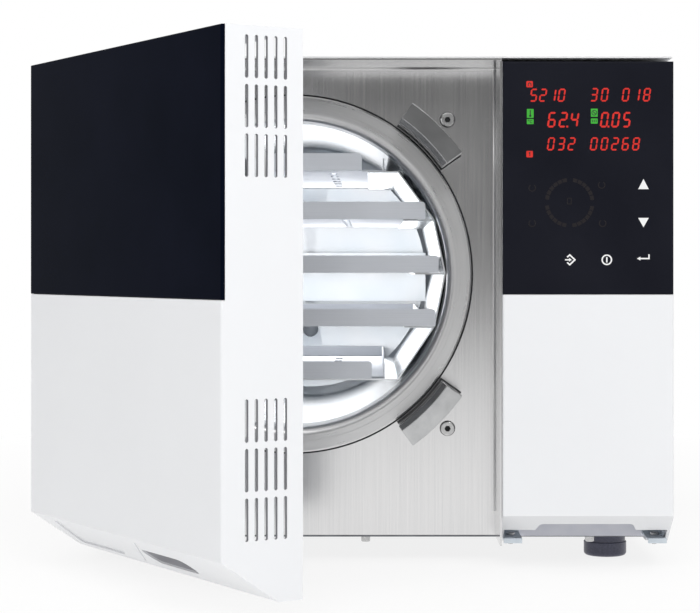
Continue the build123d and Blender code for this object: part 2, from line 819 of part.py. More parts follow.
def door_shell():
    """White door tub with a sloping underside, side slots, grip opening and inner posts."""
    x0 = door_left
    x1 = door_right
    w = door_wall
    body = sideways(side_profile(), x0, x1)
    body = fillet(body.edges().filter_by(Axis.Z).group_by(Axis.Y)[0], front_edge_radius)
    step = at(glass_thickness + w)
    inner = [(step, door_top - w), (step, black_bottom - w), (at(w), black_bottom - w),
             (at(w), door_lip_height + 0.5 * w), (at(door_slope_depth + 0.6 * w), door_bottom + w),
             (at(door_thickness + 1), door_bottom + w), (at(door_thickness + 1), door_top - w)]
    body -= sideways(inner, x0 + w, x1 - w)
    body -= glass_bed(x0, x1)
    side = Plane.YZ.offset(x1 - w - 1)
    slot = slot_outline(vent_width, vent_height)
    places = [(at(vent_front + vent_pitch * i), z) for z in vent_heights() for i in range(vent_columns)]
    body -= [extrude(side * (Pos(*place) * slot), amount=w + 2) for place in places]
    body -= grip_cut()
    body -= underside_recess()
    body -= underside_groove()
    body -= hinge_notches()
    for x, z in post_places():
        near = glass_thickness if z > black_bottom else 0
        body += along_y(frame_post_radius, x, z, at(near + w * 0.9), at(frame_front))
        hole = frame_screw_shank + running_fit
        body -= along_y(hole, x, z, at(frame_front - frame_screw_grip), at(frame_front + 1))
    r = cover_post_radius
    for x in (x0 + w + 2.3 * r, chamber_x - cover_inset - 1.6 * r):
        body += along_y(r, x, door_bottom + w + 0.9 * r, at(door_slope_depth + 2), at(cover_depth))
        body += along_y(r, x, door_top - w - 1.9 * r, at(glass_thickness + w * 0.9), at(cover_depth))
    body += grip_cup()
    return body


def post_places():
    """Row (X, Z) of the four posts that carry the frame plate, on the closed door."""
    reach = frame_half - frame_post_inset
    rise = frame_post_rise
    return [(chamber_x + dx, chamber_z + dz) for dx in (-reach, reach) for dz in (-rise, rise)]


def slope_plane(x, depth, lift=0.0):
    """Plane on the sloping underside at row X and a depth, facing out and down."""
    run = door_slope_depth
    fall = door_lip_height - door_bottom
    normal = Vector(0, -fall, -run).normalized()
    origin = Vector(x, at(depth), slope_height(depth)) + normal * lift
    return Plane(origin=origin, x_dir=(1, 0, 0), z_dir=normal)


def grip_outline(grow=0.0):
    """Rounded outline of the finger grip, on the sloping underside."""
    return RectangleRounded(grip_length + 2 * grow, grip_width + 2 * grow, grip_radius + grow)


def grip_cut():
    """Rounded finger-grip opening through the sloping underside."""
    place = slope_plane(door_right - grip_from_edge, grip_depth, lift=2)
    return extrude(place * grip_outline(), amount=-8)


def grip_cup():
    """Moulded cup behind the grip opening, open to the fingers."""
    place = slope_plane(door_right - grip_from_edge, grip_depth, lift=-1.0)
    cup = extrude(place * grip_outline(2.0), amount=-grip_cup_depth)
    return cup - extrude(place * grip_outline(0.0), amount=2 - grip_cup_depth)


def on_slope(points):
    """An outline of (row X from the free edge, depth) points laid on the sloping underside."""
    place = slope_plane(door_right, 0, lift=1)
    stretch = math.hypot(door_slope_depth, door_lip_height - door_bottom) / door_slope_depth
    sign = 1 if place.y_dir.Z < 0 else -1
    return place, make_face(Polyline(*[(-x, sign * depth * stretch) for x, depth in points], close=True))


def underside_recess():
    """Shallow recess on the sloping underside, slanted at both ends."""
    place, outline = on_slope([(recess_near, recess_low), (recess_near + recess_slant, recess_high),
                               (recess_far + recess_flare, recess_high), (recess_far, recess_low)])
    return extrude(place * fillet(outline.vertices(), 5), amount=-1 - recess_depth)


def underside_groove():
    """Slanted parting groove between the recess and the grip."""
    far = groove_near + recess_slant * 0.9
    place, outline = on_slope([(groove_near, recess_low), (far, recess_high),
                               (far + groove_width, recess_high), (groove_near + groove_width, recess_low)])
    return extrude(place * outline, amount=-1 - recess_depth / 2)


def door_frame_plate():
    """Eight-sided steel plate with two hinge arms; carries the whole closure."""
    y0 = at(frame_front)
    y1 = at(disc_front)
    outline = RectangleRounded(2 * frame_half, 2 * frame_half, 2) & Circle(disc_radius + 12)
    for angle in block_angles:
        a = math.radians(angle)
        reach = disc_radius + 30
        outline -= Pos(reach * math.cos(a), reach * math.sin(a)) * Rot(0, 0, angle) * Rectangle(60, 110)
    plate = facing(Pos(chamber_x, chamber_z) * outline, y0, y1)
    for x, z in post_places():
        plate -= along_y(frame_screw_shank + 0.2, x, z, y0 - 1, y1 + 1)
        plate -= along_y(frame_screw_head + 0.2, x, z, y1 - 3, y1 + 1)
    for z in hinge_heights():
        half = door_knuckle_length / 2
        arm = block(hinge_x, chamber_x - frame_half + 30, y0, y1, z - half, z + half)
        arm += along_z(knuckle_radius, hinge_x, hinge_y, z - half, z + half)
        arm -= along_z(hinge_pin_radius + running_fit, hinge_x, hinge_y, z - half - 1, z + half + 1)
        plate += arm
    return plate


def door_inner_cover():
    """Thin cover strip on the hinge side of the door's rear, hollowed for the disc and the hinges."""
    y0 = at(cover_depth)
    y1 = y0 + cover_thickness
    x0 = door_left + door_wall + fit_gap
    x1 = chamber_x - cover_inset
    z0 = door_bottom + door_wall + fit_gap
    z1 = door_top - door_wall - fit_gap
    outline = Pos((x0 + x1) / 2, (z0 + z1) / 2) * RectangleRounded(x1 - x0, z1 - z0, 4)
    outline -= Pos(chamber_x, chamber_z) * Circle(disc_radius + 5)
    return facing(outline, y0, y1) - hinge_notches()


def pressure_disc():
    """Machined closing disc: thick rim with a gasket groove and a dished middle."""
    y0 = at(disc_front)
    y1 = at(disc_rear)
    groove = gasket_depth
    profile = [(0, y0), (disc_radius, y0), (disc_radius, y1 - 1), (disc_radius - 1, y1), (gasket_outer, y1),
               (gasket_outer, y1 - groove), (gasket_inner, y1 - groove), (gasket_inner, y1),
               (gasket_inner - 5, y1), (gasket_inner - 14, y1 - 4.5), (0, y1 - 6)]
    return chamber_turn(profile)


def door_gasket():
    """Rubber ring in the disc's groove with a rounded sealing lip."""
    y0 = at(disc_rear) - gasket_depth
    y1 = at(ring_face) - gasket_squeeze_gap
    middle = (gasket_inner + gasket_outer) / 2
    return chamber_turn([(gasket_inner, y0), (gasket_outer, y0), (gasket_outer, y1 - 1), (middle + 2.5, y1),
                         (middle - 2.5, y1), (gasket_inner, y1 - 1)])


def bolt(angle):
    """Flat locking bolt with a chamfered tip and the pin that rides in the cam."""
    y0 = at(bolt_front)
    y1 = y0 + bolt_thickness
    half = bolt_width / 2
    tip = bolt_chamfer
    outline = make_face(Polyline((bolt_inner_end, -half), (bolt_tip - tip, -half), (bolt_tip, -half + tip),
                                 (bolt_tip, half - tip), (bolt_tip - tip, half), (bolt_inner_end, half),
                                 close=True))
    bar = facing(Pos(chamber_x, chamber_z) * outline, y0, y1)
    bar += along_y(bolt_pin_radius, chamber_x + cam_slot_start, chamber_z, at(cam_front + 0.5), y0)
    return about_chamber(bar, angle)


def bolt_guide(angle):
    """Channel screwed to the frame plate that keeps one bolt on its line."""
    half = bolt_width / 2 + guide_gap
    front = bolt_front - guide_gap
    outer = block(chamber_x + guide_inner, chamber_x + guide_outer, at(front - 2.5), at(frame_front),
                  chamber_z - half - guide_wall, chamber_z + half + guide_wall)
    outer -= block(chamber_x + guide_inner - 1, chamber_x + guide_outer + 1, at(front), at(frame_front + 1),
                   chamber_z - half, chamber_z + half)
    for side in (-1, 1):
        for r in (guide_inner + 10, guide_outer - 10):
            outer -= along_y(2.2, chamber_x + r, chamber_z + side * (half + guide_wall / 2),
                             at(front - 3), at(frame_front + 1))
    return about_chamber(outer, angle)


def gear_outline(teeth, first, last, backlash):
    """Involute teeth from number first to last on their root circle, as one closed outline."""
    pitch_radius = gear_module * teeth / 2
    base_radius = pitch_radius * math.cos(math.radians(pressure_angle))
    tip_radius = pitch_radius + gear_module
    root_radius = pitch_radius - 1.25 * gear_module
    half_tooth = math.pi / (2 * teeth) - backlash / (2 * pitch_radius)
    roll = math.tan(math.radians(pressure_angle)) - math.radians(pressure_angle)

    def flank(radius):
        """Half the tooth's angle at a radius."""
        ratio = min(1.0, base_radius / radius)
        turn = math.acos(ratio)
        return half_tooth + roll - (math.tan(turn) - turn)

    start = max(base_radius, root_radius)
    radii = [start + (tip_radius - start) * k / 2 for k in range(3)]
    points = []
    for n in range(first, last + 1):
        middle = 2 * math.pi * n / teeth
        side = [(root_radius, -flank(start))] if start > root_radius else []
        side += [(r, -flank(r)) for r in radii]
        for r, a in side + [(r, -a) for r, a in reversed(side)]:
            points.append((r * math.cos(middle + a), r * math.sin(middle + a)))
    return points


def spiral_slot(angle):
    """Slot of constant width along an Archimedean spiral, as a closed outline."""
    half = bolt_pin_radius + cam_slot_clearance
    steps = 8
    inner = []
    outer = []
    for k in range(steps + 1):
        turn = math.radians(cam_turn) * k / steps
        radius = cam_slot_start + bolt_lift * turn
        a = math.radians(angle) - turn
        out = Vector(math.cos(a), math.sin(a))
        along = Vector(math.sin(a), -math.cos(a))
        tangent = (along * radius + out * bolt_lift).normalized()
        normal = Vector(tangent.Y, -tangent.X)
        centre = out * radius
        inner.append(centre + normal * half)
        outer.append(centre - normal * half)
    head = ThreePointArc(inner[-1], (inner[-1] + outer[-1]) / 2 + tangent * half, outer[-1])
    a = math.radians(angle)
    back = (Vector(math.sin(a), -math.cos(a)) * cam_slot_start
            + Vector(math.cos(a), math.sin(a)) * bolt_lift).normalized() * -half
    tail = ThreePointArc(outer[0], (inner[0] + outer[0]) / 2 + back, inner[0])
    return make_face(Curve() + [Spline(*inner), head, Spline(*reversed(outer)), tail])


def locking_cam():
    """Cam disc: four spiral slots for the bolt pins and a toothed sector for the pinion."""
    root = cam_radius - 1.25 * gear_module
    points = gear_outline(cam_teeth, -(sector_teeth // 2), sector_teeth // 2, tooth_backlash)
    half_span = math.atan2(points[-1][1], points[-1][0])
    sector_face = make_face(Polyline((0, 0), *points, close=True))
    middle = -90 - cam_turn / 2
    plate = Circle(cam_slot_start + bolt_stroke + cam_rim)
    reach = Vector(math.cos(half_span), math.sin(half_span)) * (2 * cam_radius)
    arms = Circle(root) & make_face(Polyline((0, 0), (reach.X, -reach.Y), (reach.X, reach.Y), close=True))
    plate += Rot(0, 0, middle) * (sector_face + arms)
    plate -= Circle(cam_post_radius + running_fit)
    for angle in block_angles:
        plate -= spiral_slot(angle)
    cam = facing(Pos(chamber_x, chamber_z) * plate, at(cam_front), at(cam_front + cam_thickness))
    return cam


def pinion():
    """Drive pinion that meshes with the cam's toothed sector, half a tooth turned."""
    points = gear_outline(pinion_teeth, 0, pinion_teeth - 1, 0)
    outline = Rot(0, 0, 90 + 180 / pinion_teeth) * make_face(Polyline(*points, close=True))
    outline = Pos(chamber_x, chamber_z - gear_centres) * (outline - Circle(pinion_shaft + running_fit))
    return facing(outline, at(cam_front), at(cam_front + cam_thickness))


def cam_post():
    """Pivot post of the cam: flange on the frame plate, spacer, journal and end washer."""
    far = at(frame_front)
    post = along_y(cam_post_radius, chamber_x, chamber_z, at(cam_front - 1), far)
    post += along_y(cam_post_collar, chamber_x, chamber_z, at(cam_front + cam_thickness + fit_gap), far)
    post += along_y(cam_post_collar, chamber_x, chamber_z, at(cam_front - 3.5), at(cam_front - fit_gap))
    return post


def gear_motor():
    """Flat gearbox on the frame plate with its output shaft and an upright motor can."""
    x = chamber_x
    z = chamber_z - gear_centres
    rear = at(frame_front)
    box = block(x - 19, x + 19, at(cam_front + cam_thickness + 1.5), rear, z - 22, z + 16)
    box += along_y(pinion_shaft, x, z, at(cam_front - 1), rear - 5)
    can = along_z(13.5, x, at(29.5), z - 84, z - 24)
    can = fillet(can.faces().sort_by(Axis.Z)[0].edges(), 2.0)
    neck = along_z(7, x, at(36), z - 26, z - 20)
    ears = block(x - 19, x + 19, at(38), rear, z - 34, z - 20)
    return box + can + neck + ears


def door_screws():
    """Screws sunk in the frame plate, into the shell's four posts."""
    pieces = []
    for x, z in post_places():
        end = at(frame_front - frame_screw_grip + 0.5)
        shank = along_y(frame_screw_shank, x, z, end, at(disc_front - 1))
        pieces.append(shank + along_y(frame_screw_head, x, z, at(disc_front - 3), at(disc_front - fit_gap)))
    return pieces


# Trays

def tray_halves(index):
    """Half width of a tray's body and of its front, from the rack's ledge at its level."""
    body_half = rack_corners[index][0] - tray_side_gaps[index]
    return body_half, body_half + tray_front_reach[index]


def tray(index):
    """One tray: perforated sheet with two side lips, a rear lip and a taller front."""
    level = chamber_z + tray_levels[index]
    body_half, front_half = tray_halves(index)
    y0 = at(tray_front_depth)
    y1 = y0 + tray_length
    s = tray_sheet
    sheet_face = Pos(chamber_x, (y0 + y1) / 2) * Rectangle(2 * body_half, y1 - y0)
    for i in range(6):
        for side in (-1, 1):
            hole = Pos(chamber_x + side * body_half * 0.42, y0 + 60 + 0.14 * tray_length * i)
            sheet_face -= hole * Rot(0, 0, 90) * SlotOverall(body_half * 0.36, 7)
    body = upright(sheet_face, level, level + s)
    start = y0 + (0 if body_half <= front_half else 16)
    for side in (-1, 1):
        x = chamber_x + side * (body_half - s / 2)
        body += block(x - s / 2, x + s / 2, start, y1, level, level + tray_lip_height)
    if body_half > front_half:
        for side in (-1, 1):
            x0, x1 = sorted((chamber_x + side * front_half, chamber_x + side * (body_half + 1)))
            body -= block(x0, x1, y0 - 1, start, level - 1, level + s + 1)
    body += block(chamber_x - body_half, chamber_x + body_half, y1 - s, y1, level, level + tray_lip_height)
    face = Pos(chamber_x, level + tray_front_height / 2) * Rectangle(2 * front_half, tray_front_height)
    face = fillet(face.vertices().group_by(Axis.Y)[-1], 3.0)
    body += facing(face, y0, y0 + s)
    return body


def tray_rack():
    """Two folded side sheets with ledges for the trays, tied by straps below and behind."""
    y0 = at(rack_depth)
    y1 = y0 + tray_length
    s = rack_sheet
    top_x, top_z = rack_corners[0]
    low_x, low_z = rack_corners[-1]
    rack = None
    for side in (-1, 1):
        outer = [(side * x, dz) for x, dz in rack_corners]
        inner = [(side * (x - s * 1.15), dz) for x, dz in reversed(rack_corners)]
        wall = facing(Pos(chamber_x, chamber_z) * make_face(Polyline(*outer, *inner, close=True)), y0, y1)
        for x, dz in rack_corners:
            x0, x1 = sorted((chamber_x + side * (x - ledge_width), chamber_x + side * (x - s / 2)))
            wall += block(x0, x1, y0, y1, chamber_z + dz - s, chamber_z + dz)
        x = chamber_x + side * (top_x - ledge_width / 2)
        for i in range(8):
            hole = Pos(x, y0 + 12 + 9 * i) * Rectangle(ledge_hole, ledge_hole)
            wall -= upright(hole, chamber_z + top_z - s - 1, chamber_z + top_z + 1)
        rack = wall if rack is None else rack + wall
    strap_top = chamber_z + low_z - s
    for y in (y0 + 20, y1 - 40):
        rack += block(chamber_x - low_x, chamber_x + low_x, y, y + 20, strap_top - s, strap_top)
    rack += block(chamber_x - 120, chamber_x + 120, y1 - s, y1, chamber_z - 30, chamber_z + 20)
    return rack


# Bay contents

def water_tank():
    """Moulded tank on the shelf with a filler neck up through the roof."""
    w, d, h = tank_size
    middle = Pos(neck_centre[0], tank_front + d / 2)
    hx, hy = neck_half
    tank = upright(middle * RectangleRounded(w, d, 10), tank_base, tank_base + h)
    neck = Pos(*neck_centre) * RectangleRounded(2 * hx, 2 * hy, 10)
    tank += upright(neck, tank_base, body_height + neck_rise)
    tank -= upright(middle * RectangleRounded(w - 2 * tank_wall, d - 2 * tank_wall, 7),
                    tank_base + tank_wall, tank_base + h - tank_wall)
    mouth = Pos(*neck_centre) * RectangleRounded(2 * (hx - neck_wall), 2 * (hy - neck_wall), 8)
    return tank - upright(mouth, tank_base + tank_wall, body_height + neck_rise + 1)


def lid_axis():
    """Row Y and Z of the filler lid's hinge, behind its rear edge."""
    y = neck_centre[1] + neck_half[1] + lid_overhang + lid_hinge_radius + 0.5
    return y, body_height + fit_gap + lid_hinge_radius


def tank_lid():
    """Filler lid: a flat cap with a skirt round the neck and a hinge barrel."""
    hx, hy = neck_half
    z0 = body_height + neck_rise + fit_gap
    z1 = z0 + lid_thickness
    y_axis, z_axis = lid_axis()
    cap = Pos(*neck_centre) * RectangleRounded(2 * (hx + lid_overhang), 2 * (hy + lid_overhang), 14)
    cap = upright(cap, z0, z1)
    cap = fillet(cap.faces().sort_by(Axis.Z)[-1].edges(), 1.5)
    plug = Pos(*neck_centre) * RectangleRounded(2 * hx - 8, 2 * hy - 8, 7)
    hollow = Pos(*neck_centre) * RectangleRounded(2 * hx - 13, 2 * hy - 13, 5)
    cap += upright(plug - hollow, z0 - 4, z0 + 1)
    x = neck_centre[0]
    cap += block(x - 20, x + 20, neck_centre[1] + hy, y_axis, z0, z0 + 3)
    cap += along_x(lid_hinge_radius, y_axis, z_axis, x - 20, x + 20)
    cap -= along_x(lid_pin_radius + running_fit, y_axis, z_axis, x - 21, x + 21)
    cap += block(x - 22, x + 22, neck_centre[1] - hy - lid_overhang - 5, neck_centre[1] - hy, z0, z0 + 2.5)
    return cap


def lid_hinge():
    """Two ears on the roof with the lid's pin through them."""
    y_axis, z_axis = lid_axis()
    x = neck_centre[0]
    pieces = along_x(lid_pin_radius, y_axis, z_axis, x - 28, x + 28)
    for x0 in (x - 27, x + 20 + fit_gap):
        x1 = x0 + 7 - fit_gap
        pieces += along_x(lid_hinge_radius, y_axis, z_axis, x0, x1)
        pieces += block(x0, x1, y_axis - 4, y_axis + 12, body_height, body_height + 2)
        pieces += block(x0, x1, y_axis - 3, y_axis + 3, body_height, z_axis)
    return pieces


def steam_generator():
    """Small upright boiler with a bolted head, three terminals, an outlet and a foot."""
    x, y = boiler_centre
    top = boiler_top
    body = along_z(boiler_radius, x, y, base_top + 12, top - 8)
    body += along_z(boiler_flange, x, y, top - 8, top)
    body += along_z(boiler_flange - 2, x, y, base_top, base_top + 12)
    body = chamfer(body.faces().sort_by(Axis.Z)[-1].edges(), 1.5)
    bolt_circle = boiler_flange - 5
    for k in range(6):
        a = math.radians(60 * k)
        nut = Pos(x + bolt_circle * math.cos(a), y + bolt_circle * math.sin(a)) * RegularPolygon(3.5, 6)
        body += upright(nut, top, top + 4)
    for dx in (-14, 0, 14):
        body += along_z(3.5, x + dx, y - 10, top, top + 16)
    return body + along_z(6, x, y + boiler_outlet, top, top + 14)


def vacuum_pump():
    """Diaphragm pump: finned motor, head block with two ports and a mounting foot."""
    x = bay_middle
    z = base_top + pump_rise
    r = pump_radius
    y0 = at(pump_depth)
    y1 = y0 + 106
    body = along_y(r, x, z, y0, y1)
    for k in range(7):
        y = y0 + 12 + 12 * k
        body += along_y(r + 4, x, z, y, y + 3)
    body += facing(Pos(x, z) * RectangleRounded(2 * r + 10, 2 * r + 2, 8), y1, y1 + r)
    body += block(x - r + 4, x + r - 4, y0 + 10, y1 + 24, base_top, z - 0.8 * r)
    for dx in (-20, 20):
        body += along_z(6, x + dx, y1 + r / 2, z + 0.9 * r, z + r + 18)
    return body


def condenser():
    """Heat exchanger hung on the fan frame: fins and tubes between two side plates."""
    x, z = fan_centre
    fan_front = rear_y - sheet - fan_depth
    y1 = fan_front - 9.5
    y0 = y1 - 36
    h = condenser_half
    body = None
    for side in (-1, 1):
        plate_x = x + side * (h - 5)
        rail_z = z + side * (h - 4)
        plate = block(plate_x - 1, plate_x + 1, y0, fan_front, z - h, z + h)
        rail = block(x - h + 6, x + h - 6, y0 + 4, y1 - 4, rail_z - 4, rail_z + 4)
        body = plate + rail if body is None else body + plate + rail
    for k in range(12):
        fx = x - h + 6 + (2 * h - 12) / 11 * k
        body += block(fx - 0.6, fx + 0.6, y0, y1, z - h + 4, z + h - 4)
    for dz in (-24, 0, 24):
        body += along_x(4, (y0 + y1) / 2, z + dz, x - h + 2, x + h - 2)
    return body


def fan_housing():
    """Square fan frame on the rear panel with a hub held by four struts."""
    x, z = fan_centre
    y1 = rear_y - sheet
    y0 = y1 - fan_depth
    half = fan_size / 2
    body = facing(Pos(x, z) * (RectangleRounded(fan_size, fan_size, 5) - Circle(half - 2)), y0, y1)
    body += along_y(fan_hub, x, z, y1 - 5, y1 - 1)
    for k in range(4):
        strut = block(x + 15, x + half - 1, y1 - 4, y1 - 1, z - 2, z + 2)
        body += strut.rotate(Axis((x, 0, z), (0, 1, 0)), 45 + 90 * k)
    body += along_y(3, x, z, y0 + 3, y1 - 3)
    return body


def fan_rotor():
    """Fan hub with seven pitched blades."""
    x, z = fan_centre
    y1 = rear_y - sheet - 5 - 2 * fit_gap
    y0 = y1 - 18
    rotor = along_y(fan_hub, x, z, y0, y1)
    for k in range(fan_blades):
        blade = Pos(x + fan_hub + 11, (y0 + y1) / 2, z) * Box(26, 2, 20).rotate(Axis.X, 50)
        rotor += blade.rotate(Axis((x, 0, z), (0, 1, 0)), 360 / fan_blades * k)
    return rotor - along_y(3 + running_fit, x, z, y0 - 1, y1 + 1)


def valve_manifold():
    """Brass block with four solenoid valves in a row, on the partition."""
    x0 = partition_x + sheet
    z = boiler_top + manifold_rise
    length = manifold_pitch * manifold_valves
    y0 = pipe_rear_y - 30 - length
    body = block(x0, x0 + 30, y0, y0 + length, z - 12, z + 12)
    for k in range(manifold_valves):
        y = y0 + manifold_pitch * (k + 0.5)
        body += along_x(9, y, z, x0 + 30, x0 + 36)
        body += block(x0 + 36, x0 + 66, y - 10, y + 10, z - 13, z + 13)
    return body


def safety_valve():
    """Brass safety valve on the vessel's upper port, out through the rear panel."""
    x, z = valve_place
    y0 = vessel_rear + port_reach
    low = chamber_z + port_offset
    body = along_y(port_radius, x, low, y0, y0 + 18)
    body += along_z(7, x, y0 + 9, low, z)
    body += along_y(valve_radius - 2, x, z, y0, rear_y - 6)
    body += facing(Pos(x, z) * RegularPolygon(valve_radius - 1, 6), rear_y - 6, rear_y + 4)
    return body + along_y(8, x, z, rear_y + 4, rear_y + 10)


def main_board():
    """Control board on standoffs behind the bulkhead with its larger components."""
    x0 = partition_x + 19
    x1 = half_width - 13
    z0 = base_top + board_rise
    z1 = z0 + board_height
    y0 = at(door_thickness + fit_gap) + sheet + 8
    face = y0 + 1.6
    board = block(x0, x1, y0, face, z0, z1)
    for x in (x0 + 6, x1 - 6):
        for z in (z0 + 6, z1 - 6):
            board += along_y(3, x, z, y0 - 8, y0)
    board += block(x0 + 15, x0 + 45, face, face + 22, z1 - 80, z1 - 40)
    board += block(x0 + 60, x0 + 95, face, face + 7, z1 - 70, z1 - 35)
    for k in range(5):
        board += block(x0 + 12 + 19 * k, x0 + 26 + 19 * k, face, face + 14, z0 + 20, z0 + 38)
    return board


def power_supply():
    """Boxed power supply on the base pan, with slots in its lid."""
    w, d, h = supply_size
    x0 = bay_middle - w / 2
    y0 = at(supply_depth)
    top = base_top + h
    box = block(x0, x0 + w, y0, y0 + d, base_top, top)
    for k in range(7):
        x = x0 + w / 2 + 13 * (k - 3)
        box -= block(x - 2, x + 2, y0 + 15, y0 + d - 15, top - 2, top + 1)
    return box


def mains_inlet():
    """Inlet module: recessed socket with three blades beside the rocker switch's frame."""
    x, z = inlet_centre
    socket_z = z + socket_rise
    switch_z = z - switch_drop
    hx, hz = switch_half
    body = facing(Pos(x, z) * RectangleRounded(inlet_width + 6, inlet_height + 6, 3), rear_y, rear_y + 2)
    inner = Rectangle(inlet_width - 2 * fit_gap, inlet_height - 2 * fit_gap)
    body += facing(Pos(x, z) * inner, rear_y - 26, rear_y)
    socket = Pos(x, socket_z) * Rectangle(24.6, 17)
    body -= facing(chamfer(socket.vertices().group_by(Axis.Y)[-1], 4.5), rear_y - 17, rear_y + 3)
    for dx, dz in ((-7, -2), (7, -2), (0, 2)):
        body += block(x + dx - 1, x + dx + 1, rear_y - 17, rear_y - 3, socket_z + dz - 2, socket_z + dz + 2)
    body -= block(x - hx, x + hx, rear_y - 20, rear_y + 3, switch_z - hz, switch_z + hz)
    return body + along_x(switch_pin, rear_y - 6, switch_z, x - hx, x + hx)


def power_switch():
    """Rocker that tips on a cross pin, drawn with its upper end pressed."""
    x, z = inlet_centre
    z -= switch_drop
    half_x = switch_half[0] - 2 * fit_gap
    y_pin = rear_y - 6
    points = [(y_pin - 5, z - 4), (y_pin + 4, z - 9.4), (y_pin + 8.5, z - 9.4), (y_pin + 6.5, z),
              (y_pin + 8.5, z + 9.4), (y_pin + 4, z + 9.4), (y_pin - 5, z + 4)]
    rocker = sideways(points, x - half_x, x + half_x)
    rocker -= along_x(switch_pin + running_fit, y_pin, z, x - half_x - 1, x + half_x + 1)
    return rocker.rotate(Axis((x, y_pin, z), (1, 0, 0)), switch_tilt)


def drain_spigots():
    """Two barbed hose spigots on the rear panel, with nuts inside."""
    pieces = []
    for x, z in spigot_places:
        spigot = along_y(spigot_radius, x, z, rear_y - 20, rear_y + 24)
        spigot += along_y(9, x, z, rear_y, rear_y + 4)
        spigot += facing(Pos(x, z) * RegularPolygon(9, 6), rear_y - sheet - 6, rear_y - sheet)
        spigot -= along_y(spigot_bore, x, z, rear_y - 21, rear_y + 25)
        pieces.append(spigot)
    return pieces


def pipe(points, radius, bend):
    """A pipe of straight runs joined by equal bends."""
    path = FilletPolyline(*points, radius=bend)
    section = Plane(origin=points[0], z_dir=Vector(*points[1]) - Vector(*points[0])) * Circle(radius)
    return sweep(section, path=path)


def pipes():
    """Rigid steam pipe from the boiler's outlet over the manifold to the vessel's lower port."""
    low = chamber_z - port_offset
    high = boiler_top + 48
    x, y = boiler_centre
    y += boiler_outlet
    across = partition_x + 19
    route = [(x, y, boiler_top + 14), (x, y, high), (across, y, high), (across, pipe_rear_y, high),
             (across, pipe_rear_y, low), (chamber_x, pipe_rear_y, low),
             (chamber_x, vessel_rear + port_reach, low)]
    return [pipe(route, pipe_radius, pipe_bend)]


bodies_of_door = {
    "door_shell": door_shell, "door_frame_plate": door_frame_plate, "door_inner_cover": door_inner_cover,
    "pressure_disc": pressure_disc, "door_gasket": door_gasket, "cam_post": cam_post,
    "gear_motor": gear_motor, "locking_cam": locking_cam, "drive_pinion": pinion,
}
bodies_at_rest = {
    "base_pan": base_pan, "casing_cover": casing_cover, "rear_panel": rear_panel, "front_plate": front_plate,
    "control_shell": control_shell, "shell_brackets": shell_brackets, "display_module": display_module,
    "bay_bulkhead": bay_bulkhead, "bay_frame": bay_frame, "feet": feet, "case_screws": case_screws,
    "chamber_ring": chamber_ring, "chamber_vessel": chamber_vessel, "heater_bands": heater_bands,
    "insulation": insulation, "chamber_cradle": chamber_cradle, "hinge_brackets": hinge_brackets,
    "hinge_pins": hinge_pins, "tray_rack": tray_rack, "water_tank": water_tank, "tank_lid": tank_lid,
    "lid_hinge": lid_hinge, "steam_generator": steam_generator, "vacuum_pump": vacuum_pump,
    "condenser": condenser, "fan_housing": fan_housing, "fan_rotor": fan_rotor,
    "valve_manifold": valve_manifold, "safety_valve": safety_valve, "main_board": main_board,
    "power_supply": power_supply, "mains_inlet": mains_inlet, "power_switch": power_switch,
    "drain_spigots": drain_spigots, "pipes": pipes,
}


def main():
    os.makedirs("parts", exist_ok=True)
    for node, make in bodies_at_rest.items():
        save(node, make())
    for node, make in bodies_of_door.items():
        save(node, swing(make()))
    save("control_glass", glass_panel(column_left, half_width))
    save("door_glass", swing(glass_panel(door_left, door_right)))
    save("lock_blocks", [lock_block(angle) for angle in block_angles])
    save("lock_block_screws", [lock_block_screw(x, z) for x, z in block_screw_places()])
    save("bolt_guides", [swing(bolt_guide(angle)) for angle in block_angles])
    save("door_screws", [swing(screw) for screw in door_screws()])
    for number, angle in enumerate(block_angles, start=1):
        save(f"bolt_{number}", swing(bolt(angle)))
    for index in range(len(tray_levels)):
        save(f"tray_{index + 1}", tray(index))


if __name__ == "__main__":
    main()
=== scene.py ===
import json
import math

import bpy
import numpy as np
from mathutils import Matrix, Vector


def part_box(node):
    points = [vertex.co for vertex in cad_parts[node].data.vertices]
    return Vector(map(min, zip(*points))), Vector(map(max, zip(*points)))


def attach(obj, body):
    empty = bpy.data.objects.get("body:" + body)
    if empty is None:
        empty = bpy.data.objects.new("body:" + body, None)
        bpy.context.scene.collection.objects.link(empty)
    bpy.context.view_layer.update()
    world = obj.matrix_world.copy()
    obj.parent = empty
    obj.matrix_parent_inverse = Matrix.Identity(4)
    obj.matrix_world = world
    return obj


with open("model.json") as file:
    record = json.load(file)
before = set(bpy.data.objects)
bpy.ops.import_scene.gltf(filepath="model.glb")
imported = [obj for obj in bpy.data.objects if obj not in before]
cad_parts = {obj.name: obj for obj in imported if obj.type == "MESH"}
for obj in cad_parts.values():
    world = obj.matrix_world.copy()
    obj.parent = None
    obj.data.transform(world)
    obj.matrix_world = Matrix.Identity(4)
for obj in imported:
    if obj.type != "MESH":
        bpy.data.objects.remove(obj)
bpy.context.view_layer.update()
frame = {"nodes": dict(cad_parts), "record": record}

nodes = frame["nodes"]
MM = 0.001

# Places taken from the frame, in metres
ring_low, ring_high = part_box("chamber_ring")
chamber_x = (ring_low.x + ring_high.x) / 2
chamber_z = (ring_low.z + ring_high.z) / 2
glass_low, glass_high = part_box("control_glass")
plate_low, plate_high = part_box("front_plate")
vessel_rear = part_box("chamber_vessel")[1].y


# Meshes

def outward(points, faces):
    """The faces, turned over if the closed body they make has a negative volume."""
    fans = np.array([(face[0], face[k], face[k + 1]) for face in faces for k in range(1, len(face) - 1)])
    corners = points[fans]
    volume = np.einsum("ij,ij->i", corners[:, 0], np.cross(corners[:, 1], corners[:, 2])).sum()
    return faces if volume > 0 else [face[::-1] for face in faces]


